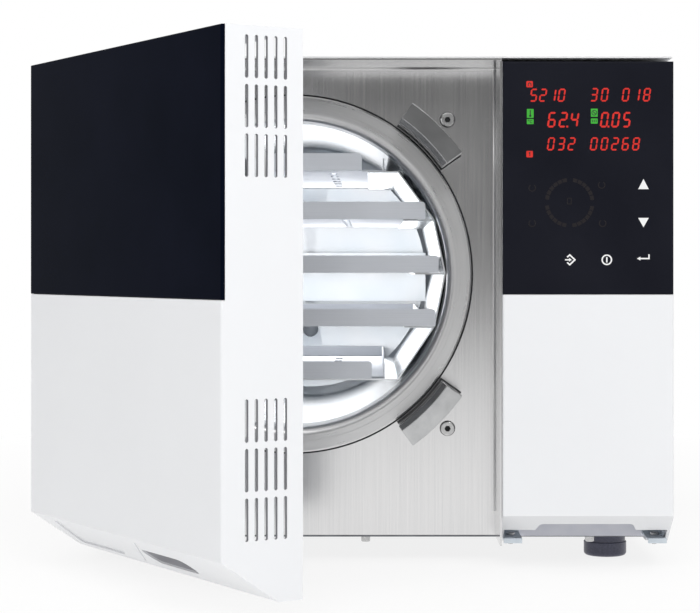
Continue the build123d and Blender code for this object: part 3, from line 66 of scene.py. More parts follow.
def mesh_piece(name, points, faces, material, body, smooth=False):
    """A named closed piece from an array of points in mm and a list of faces, riding on one body."""
    points = points * MM
    mesh = bpy.data.meshes.new(name)
    mesh.from_pydata(points.tolist(), [], outward(points, faces))
    mesh.materials.append(material)
    mesh.polygons.foreach_set("use_smooth", [smooth] * len(mesh.polygons))
    mesh.update()
    piece = bpy.data.objects.new(name, mesh)
    bpy.context.scene.collection.objects.link(piece)
    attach(piece, body)
    return piece


def joined_rows(start, count, total, rows):
    """Faces of a grid with this many points in a row: each of these rows is joined to the row after it.

    The last row of all is followed by the first, and the last point of a row by its first.
    """
    row = np.asarray(rows)[:, None]
    low = start + row * count
    high = start + (row + 1) % total * count
    here = np.arange(count)
    after = (here + 1) % count
    return np.stack([low + here, low + after, high + after, high + here], 2).reshape(-1, 4).tolist()


def turned_pieces(name, profile, centres, steps, material, body, closed=True):
    """The same turned form about several axes along Y: X = cx + r cos t, Z = cz + r sin t, Y = depth.

    The profile's points are (r, depth) in mm and the centres (X, Z) in mm. A closed profile makes a ring,
    and an open one gets a flat cap at both ends.
    """
    profile = np.asarray(profile, float)
    turn = np.linspace(0, 2 * np.pi, steps, endpoint=False)
    rows = len(profile)
    points = []
    faces = []
    for k, (cx, cz) in enumerate(centres):
        start = k * rows * steps
        grid = np.stack([cx + profile[:, :1] * np.cos(turn), np.repeat(profile[:, 1:], steps, 1),
                         cz + profile[:, :1] * np.sin(turn)], 2)
        points.append(grid.reshape(-1, 3))
        faces += joined_rows(start, steps, rows, range(rows if closed else rows - 1))
        if not closed:
            faces.append(list(range(start, start + steps))[::-1])
            faces.append(list(range(start + (rows - 1) * steps, start + rows * steps)))
    return mesh_piece(name, np.concatenate(points), faces, material, body, True)


def prisms(name, loops, front, back, material, body):
    """Flat tiles seen from the front: each loop of (X, Z) points in mm is carried from front to back.

    The first copy of a loop lies at the front depth and the second at the back depth. A loop that runs
    clockwise as seen from the front is turned round, so that every tile faces outwards.
    """
    points = []
    faces = []
    start = 0
    for loop in loops:
        loop = np.asarray(loop, float)
        area = np.sum(loop[:, 0] * np.roll(loop[:, 1], -1) - np.roll(loop[:, 0], -1) * loop[:, 1])
        if area < 0:
            loop = loop[::-1]
        count = len(loop)
        points += [np.insert(loop, 1, depth, axis=1) for depth in (front, back)]
        faces.append(list(range(start, start + count)))
        faces.append(list(range(start + count, start + 2 * count))[::-1])
        faces += [face[::-1] for face in joined_rows(start, count, 2, [0])]
        start += 2 * count
    return mesh_piece(name, np.concatenate(points), faces, material, body)


def split_edges(piece, degrees):
    """Keeps the edges sharper than this angle hard on a smooth piece."""
    piece.modifiers.new("split", "EDGE_SPLIT").split_angle = math.radians(degrees)


# Nodes that materials and the room share

def map_range(tree, source, start, end, low, high):
    """The source's values from start to end, spread from low to high."""
    spread = tree.nodes.new("ShaderNodeMapRange")
    for socket, value in (("From Min", start), ("From Max", end), ("To Min", low), ("To Max", high)):
        spread.inputs[socket].default_value = value
    tree.links.new(source, spread.inputs["Value"])
    return spread.outputs["Result"]


def combined(tree, operation, first, second):
    """Two sources put together by one operation of arithmetic."""
    made = tree.nodes.new("ShaderNodeMath")
    made.operation = operation
    tree.links.new(first, made.inputs[0])
    tree.links.new(second, made.inputs[1])
    return made.outputs[0]


# Materials

# Nearly all of a noise's values lie between these two
noise_low = 0.3
noise_high = 0.7


class Finish:
    """A node material on Object coordinates, with its main shader ready."""

    def __init__(self, name, colour, roughness, metallic=0.0, **sockets):
        self.material = bpy.data.materials.new(name)
        self.material.use_nodes = True
        self.tree = self.material.node_tree
        self.shader = self.tree.nodes["Principled BSDF"]
        self.set("Base Color", (*colour, 1.0))
        self.set("Roughness", roughness)
        self.set("Metallic", metallic)
        for socket, value in sockets.items():
            self.set(socket.replace("_", " "), value)
        self.place = self.node("ShaderNodeTexCoord").outputs["Object"]

    def set(self, socket, value):
        """A value that is the same all over the surface."""
        self.shader.inputs[socket].default_value = value

    def node(self, kind, **settings):
        """A new node with its settings."""
        made = self.tree.nodes.new(kind)
        for key, value in settings.items():
            setattr(made, key, value)
        return made

    def link(self, source, target):
        """Carries a source to a socket."""
        self.tree.links.new(source, target)

    def noise(self, stretch, detail=2.0):
        """Noise whose grain is one over the stretch, in metres, the same or one for each axis."""
        mapping = self.node("ShaderNodeMapping")
        mapping.inputs["Scale"].default_value = np.broadcast_to(stretch, 3).tolist()
        noise = self.node("ShaderNodeTexNoise")
        noise.inputs["Scale"].default_value = 1.0
        noise.inputs["Detail"].default_value = detail
        self.link(self.place, mapping.inputs["Vector"])
        self.link(mapping.outputs["Vector"], noise.inputs["Vector"])
        return noise.outputs["Fac"]

    def rings(self, centre, pitch, detail):
        """Noise that depends on the distance from an axis along Y only, as on a turned face."""
        mapping = self.node("ShaderNodeMapping")
        mapping.inputs["Location"].default_value = (-centre[0], 0.0, -centre[1])
        mapping.inputs["Scale"].default_value = (1.0, 0.0, 1.0)
        length = self.node("ShaderNodeVectorMath", operation="LENGTH")
        noise = self.node("ShaderNodeTexNoise", noise_dimensions="1D")
        noise.inputs["Scale"].default_value = 1.0 / pitch
        noise.inputs["Detail"].default_value = detail
        self.link(self.place, mapping.inputs["Vector"])
        self.link(mapping.outputs["Vector"], length.inputs[0])
        self.link(length.outputs["Value"], noise.inputs["W"])
        return noise.outputs["Fac"]

    def spread(self, source, low, high):
        """A noise's usual values spread from low to high."""
        return map_range(self.tree, source, noise_low, noise_high, low, high)

    def blend(self, first, second, share):
        """Two sources mixed, with this share of the second."""
        mix = self.node("ShaderNodeMix")
        mix.inputs["Factor"].default_value = share
        self.link(first, mix.inputs["A"])
        self.link(second, mix.inputs["B"])
        return mix.outputs["Result"]

    def colours(self, source, low, high, start=noise_low, end=noise_high):
        """The main colour goes from low to high as the source goes from start to end."""
        ramp = self.node("ShaderNodeValToRGB")
        for stop, position, colour in zip(ramp.color_ramp.elements, (start, end), (low, high)):
            stop.position = position
            stop.color = (*colour, 1.0)
        self.link(source, ramp.inputs["Fac"])
        self.link(ramp.outputs["Color"], self.shader.inputs["Base Color"])

    def rough(self, source, low, high):
        """The roughness goes from low to high with the source."""
        self.link(self.spread(source, low, high), self.shader.inputs["Roughness"])

    def bump(self, source, height, strength):
        """A relief of this height, in metres."""
        bump = self.node("ShaderNodeBump")
        bump.inputs["Distance"].default_value = height
        bump.inputs["Strength"].default_value = strength
        self.link(source, bump.inputs["Height"])
        self.link(bump.outputs["Normal"], self.shader.inputs["Normal"])


def moulded(name, colour, shade, roughness):
    """Moulded plastic: a faint orange peel and a slight drift in tone."""
    finish = Finish(name, colour, roughness)
    finish.colours(finish.noise(9.0, 3.0), shade, colour)
    finish.rough(finish.noise(60.0, 4.0), roughness - 0.04, roughness + 0.05)
    finish.bump(finish.noise(900.0), 0.00003, 0.35)
    return finish.material


def powder_coat(name, colour, shade):
    """Powder-coated sheet: a fine, even texture."""
    finish = Finish(name, colour, 0.5)
    finish.colours(finish.noise(7.0, 3.0), shade, colour)
    finish.bump(finish.noise(1500.0, 3.0), 0.00006, 0.5)
    return finish.material


def brushed(name, low, high, stretch, rough, depth):
    """Brushed sheet: streaks along the axis with the small stretch, over a faint cloudiness."""
    finish = Finish(name, high, rough[0], 1.0)
    streaks = finish.noise(stretch, 3.0)
    cloud = finish.noise((16.0, 16.0, 10.0), 3.0)
    finish.colours(finish.blend(streaks, cloud, 0.4), low, high)
    finish.rough(finish.blend(streaks, cloud, 0.6), *rough)
    finish.bump(streaks, 0.00001, depth)
    return finish.material


def turned_face(name, low, high, centre, pitch, rough):
    """Turned face: fine concentric lines about an axis along Y, over a faint cloudiness."""
    finish = Finish(name, high, rough[0], 1.0)
    lines = finish.rings(centre, pitch, 1.0)
    cloud = finish.noise(40.0, 3.0)
    finish.colours(finish.blend(lines, cloud, 0.3), low, high)
    finish.rough(finish.blend(lines, cloud, 0.5), *rough)
    return finish.material


def plain_metal(name, low, high, rough, grain=220.0, height=0.00002):
    """Plated or cast metal: cloudy tone and a light grain."""
    finish = Finish(name, high, rough[0], 1.0)
    cloud = finish.noise(grain, 5.0)
    finish.colours(cloud, low, high)
    finish.rough(finish.noise(grain / 5, 3.0), *rough)
    finish.bump(cloud, height, 0.4)
    return finish.material


def rubber_like(name, low, high, rough):
    """Rubber or matte black plastic with a fine leathery grain."""
    finish = Finish(name, high, rough)
    grain = finish.noise(700.0, 3.0)
    finish.colours(grain, low, high)
    finish.bump(grain, 0.00005, 0.5)
    return finish.material


def black_glass_finish(name, low, high, gloss):
    """Back-painted glass: deep blue black under a clear, faintly smudged face."""
    finish = Finish(name, high, 0.08, Specular_IOR_Level=gloss)
    finish.colours(finish.noise(14.0), low, high)
    finish.rough(finish.noise((30.0, 30.0, 22.0), 4.0), 0.06, 0.14)
    return finish.material


def chamber_steel():
    """Electropolished chamber sheet: almost white, softly mirroring, with faint long streaks."""
    finish = Finish("polished_steel", (0.95, 0.955, 0.96), 0.2, 0.62)
    finish.colours(finish.noise((24.0, 3.0, 24.0)), (0.84, 0.89, 0.93), (0.93, 0.94, 0.955))
    finish.bump(finish.noise((14.0, 5.0, 14.0), 1.0), 0.0004, 0.15)
    return finish.material


def zinc_sheet(name, low, high, metallic):
    """Zinc-plated sheet: soft bluish spangle with a matt sheen."""
    finish = Finish(name, high, 0.42, metallic)
    finish.colours(finish.noise(60.0, 4.0), low, high)
    finish.bump(finish.noise(400.0), 0.00002, 0.3)
    return finish.material


def wool_finish():
    """Mineral wool: matted fibres."""
    finish = Finish("wool", (0.74, 0.71, 0.6), 0.95)
    fibres = finish.noise((260.0, 900.0, 260.0), 6.0)
    finish.colours(fibres, (0.6, 0.57, 0.46), (0.82, 0.79, 0.69))
    finish.bump(fibres, 0.0006, 0.8)
    return finish.material


def board_finish():
    """Circuit board: green mask over a faint pattern of tracks."""
    finish = Finish("circuit_board", (0.02, 0.16, 0.07), 0.35)
    tracks = finish.noise((90.0, 90.0, 420.0), 1.0)
    finish.colours(tracks, (0.01, 0.1, 0.045), (0.03, 0.2, 0.09), 0.45, 0.55)
    return finish.material


def lamp_finish(name, colour, strength, drift):
    """A lit display tile behind dark glass: its glow drifts slightly over the panel."""
    unlit = [part / 10 for part in colour]
    finish = Finish(name, unlit, 0.4, Emission_Color=(*colour, 1.0), Specular_IOR_Level=0.1)
    glow = finish.spread(finish.noise(120.0, 1.0), strength * (1 - drift), strength * (1 + drift))
    finish.link(glow, finish.shader.inputs["Emission Strength"])
    return finish.material


upright_grain = (1100.0, 1100.0, 9.0)
level_grain = (14.0, 1400.0, 1400.0)

finishes = {
    "white_shell": moulded("white_shell", (0.875, 0.885, 0.905), (0.86, 0.87, 0.89), 0.34),
    "black_glass": black_glass_finish("black_glass", (0.0105, 0.0112, 0.0165),
                                      (0.0135, 0.0143, 0.0205), 0.05),
    "painted_case": powder_coat("painted_case", (0.80, 0.805, 0.81), (0.77, 0.775, 0.785)),
    "brushed_plate": brushed("brushed_plate", (0.69, 0.69, 0.695), (0.81, 0.805, 0.805),
                             upright_grain, (0.15, 0.21), 0.1),
    "machined_steel": turned_face("machined_steel", (0.71, 0.71, 0.715), (0.77, 0.77, 0.77),
                                  (chamber_x, chamber_z), 0.003, (0.27, 0.3)),
    "polished_steel": chamber_steel(),
    "tray_sheet": brushed("tray_sheet", (0.64, 0.665, 0.71), (0.7, 0.725, 0.77),
                          level_grain, (0.34, 0.42), 0.15),
    "zinc_sheet": plain_metal("zinc_sheet", (0.58, 0.6, 0.62), (0.74, 0.76, 0.78), (0.28, 0.42), 60.0),
    "screws": plain_metal("screws", (0.5, 0.5, 0.5), (0.7, 0.7, 0.7), (0.22, 0.34), 300.0),
    "rubber": rubber_like("rubber", (0.07, 0.072, 0.108), (0.11, 0.113, 0.172), 0.33),
    "brass": plain_metal("brass", (0.6, 0.42, 0.16), (0.76, 0.56, 0.26), (0.25, 0.4)),
    "copper_pipe": plain_metal("copper_pipe", (0.6, 0.28, 0.16), (0.8, 0.42, 0.27), (0.25, 0.4)),
    "boiler_steel": plain_metal("boiler_steel", (0.4, 0.38, 0.36), (0.56, 0.54, 0.52), (0.35, 0.5)),
    "aluminium_parts": plain_metal("aluminium_parts", (0.5, 0.51, 0.52), (0.66, 0.67, 0.68),
                                   (0.4, 0.55), 500.0, 0.00008),
    "wool": wool_finish(),
    "black_plastic": rubber_like("black_plastic", (0.012, 0.012, 0.013), (0.022, 0.022, 0.024), 0.42),
    "tank_plastic": moulded("tank_plastic", (0.78, 0.79, 0.81), (0.74, 0.75, 0.78), 0.45),
    "circuit_board": board_finish(),
}
slot_of = {entry["node"]: entry["material_slot"] for entry in frame["record"]["subparts"]}

# Nodes whose finish differs from the others of their slot
own_finishes = {
    "door_glass": black_glass_finish("door_black_glass", (0.002, 0.0035, 0.0095),
                                     (0.0035, 0.005, 0.0125), 0.008),
    "lock_blocks": plain_metal("milled_blocks", (0.48, 0.485, 0.49), (0.58, 0.585, 0.59),
                               (0.12, 0.2), 70.0, 0.00001),
    "pressure_disc": plain_metal("disc_steel", (0.64, 0.64, 0.65), (0.68, 0.68, 0.69),
                                 (0.27, 0.3), 400.0, 0.000005),
    "base_pan": zinc_sheet("dark_zinc", (0.13, 0.135, 0.15), (0.2, 0.21, 0.23), 0.6),
    "bay_bulkhead": zinc_sheet("pale_zinc", (0.8, 0.815, 0.9), (0.88, 0.89, 0.96), 0.12),
    "shell_brackets": zinc_sheet("blue_zinc", (0.62, 0.69, 0.75), (0.76, 0.82, 0.88), 0.15),
}


# Carried-over nodes: lengths in metres, angles in degrees, edge widths in mm

weld_distance = 0.00001
flat_within = 0.6
eased_from = 35
hard_from = 50
hard_from_uneased = 30
edge_widths = {
    "door_shell": 0.4, "control_shell": 0.4, "door_glass": 0.2, "control_glass": 0.2, "front_plate": 0.3,
    "casing_cover": 0.3, "rear_panel": 0.2, "lock_blocks": 0.4, "lock_block_screws": 0.25,
    "hinge_brackets": 0.5, "tank_lid": 0.5, "pressure_disc": 0.4, "door_frame_plate": 0.5, "feet": 0.5,
    "shell_brackets": 0.25, "mains_inlet": 0.4, "power_switch": 0.4, "case_screws": 0.2, "base_pan": 0.2,
    "bay_bulkhead": 0.2,
}


def dress(node, edge_width):
    """Gives a CAD node its finish, joins its loose triangles into whole faces and eases its sharp edges.

    Normals are weighted by area, so that a flat face stays flat up to its eased edge.
    """
    piece = nodes[node]
    piece.data.materials.clear()
    piece.data.materials.append(own_finishes.get(node, finishes[slot_of[node]]))
    piece.data.polygons.foreach_set("use_smooth", [True] * len(piece.data.polygons))
    weld = piece.modifiers.new("weld", "WELD")
    weld.merge_threshold = weld_distance
    faces = piece.modifiers.new("whole_faces", "DECIMATE")
    faces.decimate_type = "DISSOLVE"
    faces.angle_limit = math.radians(flat_within)
    if edge_width:
        eased = piece.modifiers.new("eased_edges", "BEVEL")
        eased.width = edge_width * MM
        eased.segments = 2
        eased.limit_method = "ANGLE"
        eased.angle_limit = math.radians(eased_from)
        eased.use_clamp_overlap = True
        eased.face_strength_mode = "FSTR_ALL"
    split_edges(piece, hard_from if edge_width else hard_from_uneased)
    weighted = piece.modifiers.new("flat_normals", "WEIGHTED_NORMAL")
    weighted.keep_sharp = True
    weighted.use_face_influence = bool(edge_width)


for node in nodes:
    dress(node, edge_widths.get(node, 0.0))


# Trim round the chamber, in mm: painted shadows as dark bands in the gaps round the ring and the blocks,
# dark rings of painted shadow round the screw heads, dark tiles of painted shade in the screw sockets, and
# port screens

ring_radius = 147.8
ring_stands = 3.0
block_radii = (150.5, 169.5)
block_angles = (45.0, 120.0, 240.0, 315.0)
block_half_angle = 9.6
block_gap_width = 0.9
block_gap_lift = 0.15
block_gap_sunk = 0.2
screw_radius = 181.0
screw_head = 5.85
socket_reach = 2.5
socket_floor_front = 1.62
socket_floor_back = 1.4
plate_front = ring_low.y / MM + ring_stands
chamber_centre = (chamber_x / MM, chamber_z / MM)


def round_chamber(radius, degrees):
    """(X, Z) in mm at a radius and an angle round the chamber's axis."""
    turn = np.radians(degrees)
    return chamber_centre[0] + radius * np.cos(turn), chamber_centre[1] + radius * np.sin(turn)


def block_gap_shadow(angle):
    """Outline of the painted shadow, a dark band in the gap round one lock block's foot: two arcs joined
    at their ends.
    """
    half = block_half_angle + math.degrees(block_gap_width / block_radii[0])
    turn = np.linspace(angle - half, angle + half, 16)
    outer = np.stack(round_chamber(block_radii[1] + block_gap_width, turn), 1)
    inner = np.stack(round_chamber(block_radii[0] - block_gap_width, turn[::-1]), 1)
    return np.concatenate([outer, inner])


def shadow_ring_section(inner, outer, inner_lift, outer_lift, sunk):
    """Section of a dark ring of painted shadow: its front slopes from the inner lift to the outer lift
    above the plate.
    """
    return [(inner, plate_front - inner_lift), (outer, plate_front - outer_lift),
            (outer, plate_front + sunk), (inner, plate_front + sunk)]


def socket_outline(x, z):
    """Six corners of a screw's socket, one of them to the right."""
    turn = np.radians(60 * np.arange(6))
    return np.stack([x + socket_reach * np.cos(turn), z + socket_reach * np.sin(turn)], 1)


# Black for painted shade: dark sheets in the gaps round the ring and the blocks, round the screw heads and
# in the screw sockets; also the black print of the display's marks
shade_and_print_black = rubber_like("shade_and_print_black", (0.006, 0.007, 0.009), (0.012, 0.013, 0.016), 0.6)
screw_centres = [round_chamber(screw_radius, angle) for angle in block_angles]
# A dark ring between the plate's hole and the chamber ring: painted shadow of the gap there
ring_gap_shadow = shadow_ring_section(ring_radius + 0.02, ring_radius + 1.5, inner_lift=0.25, outer_lift=0.12, sunk=0.3)
# Dark rings round the block screws' heads: painted shadow where the heads meet the plate
screw_head_shadow = shadow_ring_section(screw_head - 0.2, screw_head + 0.55, inner_lift=0.4, outer_lift=0.15, sunk=0.2)
turned_pieces("ring_gap_shadow", ring_gap_shadow, [chamber_centre], 144, shade_and_print_black, "cabinet")
# Dark bands round the lock blocks' feet: painted shadow in the gaps
prisms("block_gap_shadows", [block_gap_shadow(angle) for angle in block_angles],
       plate_front - block_gap_lift, plate_front + block_gap_sunk, shade_and_print_black, "cabinet")
turned_pieces("screw_head_shadows", screw_head_shadow, screw_centres, 32, shade_and_print_black, "cabinet")
# Dark hexagons at the screw sockets' floors: painted shade in the sockets
prisms("screw_socket_shadows", [socket_outline(*centre) for centre in screw_centres],
       plate_front - socket_floor_front, plate_front - socket_floor_back, shade_and_print_black, "cabinet")

port_screen = zinc_sheet("port_screen", (0.8, 0.82, 0.86), (0.88, 0.9, 0.93), 0.2)
port_reach = 24.0
port_offset = 60.0
port_seat = vessel_rear / MM - port_reach
# Radius and depth behind the seat, from the middle of a screen's dome to its rim
port_dome = ((0.6, -2.2), (4.0, -1.8), (7.0, -0.4), (8.0, 1.2), (8.0, 1.9))
turned_pieces("port_screens", [(radius, port_seat + depth) for radius, depth in port_dome],
              [(chamber_centre[0], chamber_centre[1] + rise) for rise in (port_offset, -port_offset)], 32,
              port_screen, "cabinet", closed=False)


# Rounded inner folds of the front plate, in mm

plate_sheet = 1.5
fold_radius = 1.8
fold_sunk = 0.05
fold_left = plate_low.x / MM + 2.0
fold_bottom = plate_low.z / MM + 20.0
fold_right = plate_high.x / MM - plate_sheet
fold_top = plate_high.z / MM - plate_sheet
folded_steel = brushed("folded_steel", (0.69, 0.69, 0.695), (0.79, 0.785, 0.785), upright_grain,
                       (0.36, 0.44), 0.1)


def fold(name, start, end, first, second):
    """Hollow rounding along a fold: r (1 - cos t) along one sheet and r (1 - sin t) along the other.

    The quarter circle, closed by the corner behind it, is carried straight from the start to the end.
    """
    turn = np.radians(np.linspace(0, 90, 9))
    first = np.array(first, float)
    second = np.array(second, float)
    arc = fold_radius * (np.outer(1 - np.cos(turn), first) + np.outer(1 - np.sin(turn), second))
    section = np.concatenate([-fold_sunk * (first + second)[None], arc])
    count = len(section)
    faces = joined_rows(0, count, 2, [0])
    faces.append(list(range(count)))
    faces.append(list(range(count, 2 * count))[::-1])
    points = np.concatenate([section + start, section + end])
    split_edges(mesh_piece(name, points, faces, folded_steel, "cabinet", True), 40)


fold_corner = (fold_right, plate_front, fold_top)
fold("plate_top_fold", (fold_left, plate_front, fold_top), fold_corner, (0, -1, 0), (0, 0, -1))
fold("plate_right_fold", (fold_right, plate_front, fold_bottom), fold_corner, (0, -1, 0), (-1, 0, 0))


# The closed door, in mm and degrees, and its turn to where it stands open

hinge_place = (-229.0, -247.0)
door_turn = math.radians(-58.5)
door_front = -300.0
door_side = 100.0
door_wall = 2.5
slope_top = (door_front, 46.2)
slope_low = (-256.3, 16.5)


def swung(points):
    """Points of the closed door in mm, turned about the hinge to where the door stands open."""
    x = points[:, 0] - hinge_place[0]
    y = points[:, 1] - hinge_place[1]
    turned = points.copy()
    turned[:, 0] = hinge_place[0] + x * math.cos(door_turn) - y * math.sin(door_turn)
    turned[:, 1] = hinge_place[1] + x * math.sin(door_turn) + y * math.cos(door_turn)
    return turned


# Grey cup in the finger grip, darker than the white shell round it, on the door's sloping underside, in mm

grip_centre = (-31.5, 25.5)
grip_half = (36.35, 10.35)
grip_corner = 8.85
grip_mouth = 1.4
grip_floor = 16.2
grip_wall = 0.5
grip_grey = moulded("grip_grey", (0.6, 0.6, 0.63), (0.5, 0.5, 0.53), 0.5)


def grip_grey_cup():
    """A thin cup: the grip's rounded outline carried in from the slope, with a floor.

    A point of the outline goes round four corner arcs; rows step inwards along the slope's normal, out on
    the wall's outside, across the floor's edge and back on its inside.
    """
    run = slope_low[0] - slope_top[0]
    fall = slope_top[1] - slope_low[1]
    long = math.hypot(run, fall)
    down_slope = np.array([0.0, run / long, -fall / long])
    inward = np.array([0.0, fall / long, run / long])
    along_x, depth = grip_centre
    middle = np.array([along_x, slope_top[0] + depth, slope_top[1] - fall * depth / run])
    turn = np.linspace(0, 2 * np.pi, 48, endpoint=False) + np.pi / 48
    across = (grip_half[0] - grip_corner) * np.sign(np.cos(turn))
    along = (grip_half[1] - grip_corner) * np.sign(np.sin(turn))
    rows = []
    for inset, reach in ((0.0, grip_mouth), (0.0, grip_floor + grip_wall), (grip_wall, grip_floor),
                         (grip_wall, grip_mouth)):
        u = across + (grip_corner - inset) * np.cos(turn)
        v = along + (grip_corner - inset) * np.sin(turn)
        rows.append(middle + np.outer(u, (1.0, 0.0, 0.0)) + np.outer(v, down_slope) + reach * inward)
    count = len(turn)
    faces = joined_rows(0, count, 4, [0, 2, 3])
    faces.append(list(range(count, 2 * count)))
    faces.append(list(range(2 * count, 3 * count))[::-1])
    points = swung(np.concatenate(rows))
    split_edges(mesh_piece("grip_grey_cup", points, faces, grip_grey, "door", True), 40)


grip_grey_cup()


# Grey linings of the door's side slots, in mm: painted shade on the slots' inner edges

slot_from_front = 19.3
slot_pitch = 7.48
slots_in_row = 5
slot_row_tops = (387.6, 140.9)
slot_row_pitch = 33.5
rows_in_group = 3
slot_width = 2.7
slot_height = 29.4
sleeve_outside = 0.03
sleeve_inside = 0.2
sleeve_set_back = 0.12
# Grey for painted shade: the white sheet's edges inside the slots are darkened to stand in for their shade
slot_shadow_grey = moulded("slot_shadow_grey", (0.36, 0.36, 0.38), (0.29, 0.29, 0.31), 0.6)


def slot_shadow_sleeves():
    """A thin grey sleeve of painted shade in each slot: the slot's outline, two half circles joined by
    straight sides.

    Row k of a sleeve is the outline at one inset and one depth: outer front, outer back, inner back and
    inner front. The sleeves are made for the closed door and turned with it.
    """
    turn = np.concatenate([np.linspace(0, np.pi, 7), np.linspace(np.pi, 2 * np.pi, 7)])
    lift = np.repeat([1.0, -1.0], 7) * (slot_height - slot_width) / 2
    count = len(turn)
    front = door_side - sleeve_set_back
    back = door_side - door_wall
    places = [(door_front + slot_from_front + slot_pitch * column, top - slot_row_pitch * row)
              for column in range(slots_in_row) for top in slot_row_tops for row in range(rows_in_group)]
    points = []
    faces = []
    for k, (y, z) in enumerate(places):
        for inset, x in ((sleeve_outside, front), (sleeve_outside, back), (sleeve_inside, back),
                         (sleeve_inside, front)):
            radius = slot_width / 2 - inset
            points.append(np.stack([np.full(count, x), y + radius * np.cos(turn),
                                    z + lift + radius * np.sin(turn)], 1))
        faces += joined_rows(4 * count * k, count, 4, range(4))
    mesh_piece("slot_shadow_sleeves", swung(np.concatenate(points)), faces, slot_shadow_grey, "door")


slot_shadow_sleeves()


# Display and keys on the control glass, in mm from the glass's left and top edges

tile_lift = 0.12
tile_sunk = 0.2
glass_front = glass_low.y / MM
digit_slant = math.tan(math.radians(8))
digit_gap = 0.14
dot_gap = 0.25
dot_corner = 0.2
segments_of = {
    "0": "abcdef", "1": "bc", "2": "abged", "3": "abgcd", "4": "fgbc", "5": "afgcd", "6": "afgedc",
    "7": "abc", "8": "abcdefg", "9": "abcdfg",
}
# Each segment's two ends as steps across and half heights down
segment_ends = {
    "a": (0, 0, 1, 0), "g": (0, 1, 1, 1), "d": (0, 2, 1, 2), "f": (0, 0, 0, 1), "b": (1, 0, 1, 1),
    "e": (0, 1, 0, 2), "c": (1, 1, 1, 2),
}


def on_glass(x, down):
    """Row (X, Z) in mm of a point given from the glass's left edge and down from its top edge."""
    return glass_low.x / MM + x, glass_high.z / MM - down


def outline_on_glass(points):
    """An outline's points, each given as on_glass takes it."""
    return [on_glass(*point) for point in points]


def digit(character, left, top, width, height, stroke):
    """Seven-segment digit as six-sided tiles, leaning to the right."""
    half = stroke / 2
    across = width - stroke
    down = (height - stroke) / 2
    loops = []
    for letter in segments_of[character]:
        i0, j0, i1, j1 = segment_ends[letter]
        x0, y0, x1, y1 = i0 * across, j0 * down, i1 * across, j1 * down
        along = Vector((x1 - x0, y1 - y0)).normalized()
        side = Vector((-along.y, along.x)) * half
        start = Vector((x0, y0)) + along * digit_gap
        end = Vector((x1, y1)) - along * digit_gap
        shape = [start, start + along * half + side, end - along * half + side, end,
                 end - along * half - side, start + along * half - side]
        loops.append([on_glass(left + half + p.x + (height - p.y) * digit_slant, top + half + p.y)
                      for p in shape])
    return loops


def number(text, left, top, width, height, pitch, stroke):
    """A row of digits; a dot follows the digit before it."""
    loops = []
    x = left
    for character in text:
        if character == ".":
            dot_left = x - pitch + width + dot_gap
            loops.append(square(dot_left, top + height - stroke, stroke, stroke, dot_corner))
            continue
        if character != " ":
            loops += digit(character, x, top, width, height, stroke)
        x += pitch
    return loops


def square(left, top, width, height, corner=0.8):
    """A rounded rectangle on the glass: a quarter turn of the corner radius at each corner."""
    turn = np.radians(np.linspace(0, 90, 5))
    points = []
    for k, (i, j) in enumerate(((1, 1), (0, 1), (0, 0), (1, 0))):
        x = left + corner + i * (width - 2 * corner) + corner * np.cos(turn + k * np.pi / 2)
        y = top + corner + j * (height - 2 * corner) + corner * np.sin(turn + k * np.pi / 2)
        points += outline_on_glass(zip(x, y))
    return points


def circle_band(x, down, inner, outer, start=0.0, end=359.0, steps=24):
    """An arc band about a point on the glass, as one closed loop of an outer and an inner arc."""
    turn = np.radians(np.linspace(start, end, steps))
    centre = on_glass(x, down)
    out = np.stack([centre[0] + outer * np.cos(turn), centre[1] + outer * np.sin(turn)], 1)
    back = np.stack([centre[0] + inner * np.cos(turn[::-1]), centre[1] + inner * np.sin(turn[::-1])], 1)
    return np.concatenate([out, back])


def line_band(points, width):
    """A mitred band along a line of points on the glass: the line set off by half the width each side."""
    line = np.asarray(points, float)
    step = np.diff(line, axis=0)
    step /= np.linalg.norm(step, axis=1)[:, None]
    normal = np.stack([-step[:, 1], step[:, 0]], 1)
    first = np.concatenate([normal[:1], normal])
    second = np.concatenate([normal, normal[-1:]])
    offset = (first + second) / (1 + np.sum(first * second, axis=1))[:, None] * width / 2
    return outline_on_glass(np.concatenate([line + offset, (line - offset)[::-1]]))


def from_middle(middle, points):
    """Points given from a key's own middle."""
    return [(middle[0] + dx, middle[1] + dy) for dx, dy in points]


def panel_piece(name, loops, material, proud=0.0):
    """Tiles on the control glass, a little proud of its face."""
    return prisms(name, loops, glass_front - tile_lift - proud, glass_front + tile_sunk, material,
                  "cabinet")


red_lamp = lamp_finish("display_red", (0.66, 0.036, 0.028), 1.0, 0.12)
green_lamp = lamp_finish("display_green", (0.055, 0.4, 0.045), 1.0, 0.12)
white_print = lamp_finish("key_white", (0.9, 0.9, 0.9), 0.9, 0.03)
# Unlit print made to glow faintly: a painted glow that stands in for the light the grey print gives back
dim_print_glow = lamp_finish("unlit_print_glow", (0.021, 0.0185, 0.0205), 0.9, 0.05)

# Text, left, top, width, height, pitch and stroke of each number
number_rows = (
    ("5210", 21.1, 21.7, 5.6, 10.5, 7.4, 1.25),
    ("30 018", 69.2, 21.2, 5.6, 10.8, 8.4, 1.25),
    ("62.4", 35.0, 40.3, 6.4, 12.4, 9.0, 1.5),
    ("0.05", 77.0, 40.3, 6.2, 12.4, 8.9, 1.5),
    ("032", 34.8, 60.5, 5.6, 10.5, 8.2, 1.25),
    ("00268", 69.0, 60.5, 5.6, 10.5, 8.4, 1.25),
)
panel_piece("display_digits", [loop for row in number_rows for loop in number(*row)], red_lamp)

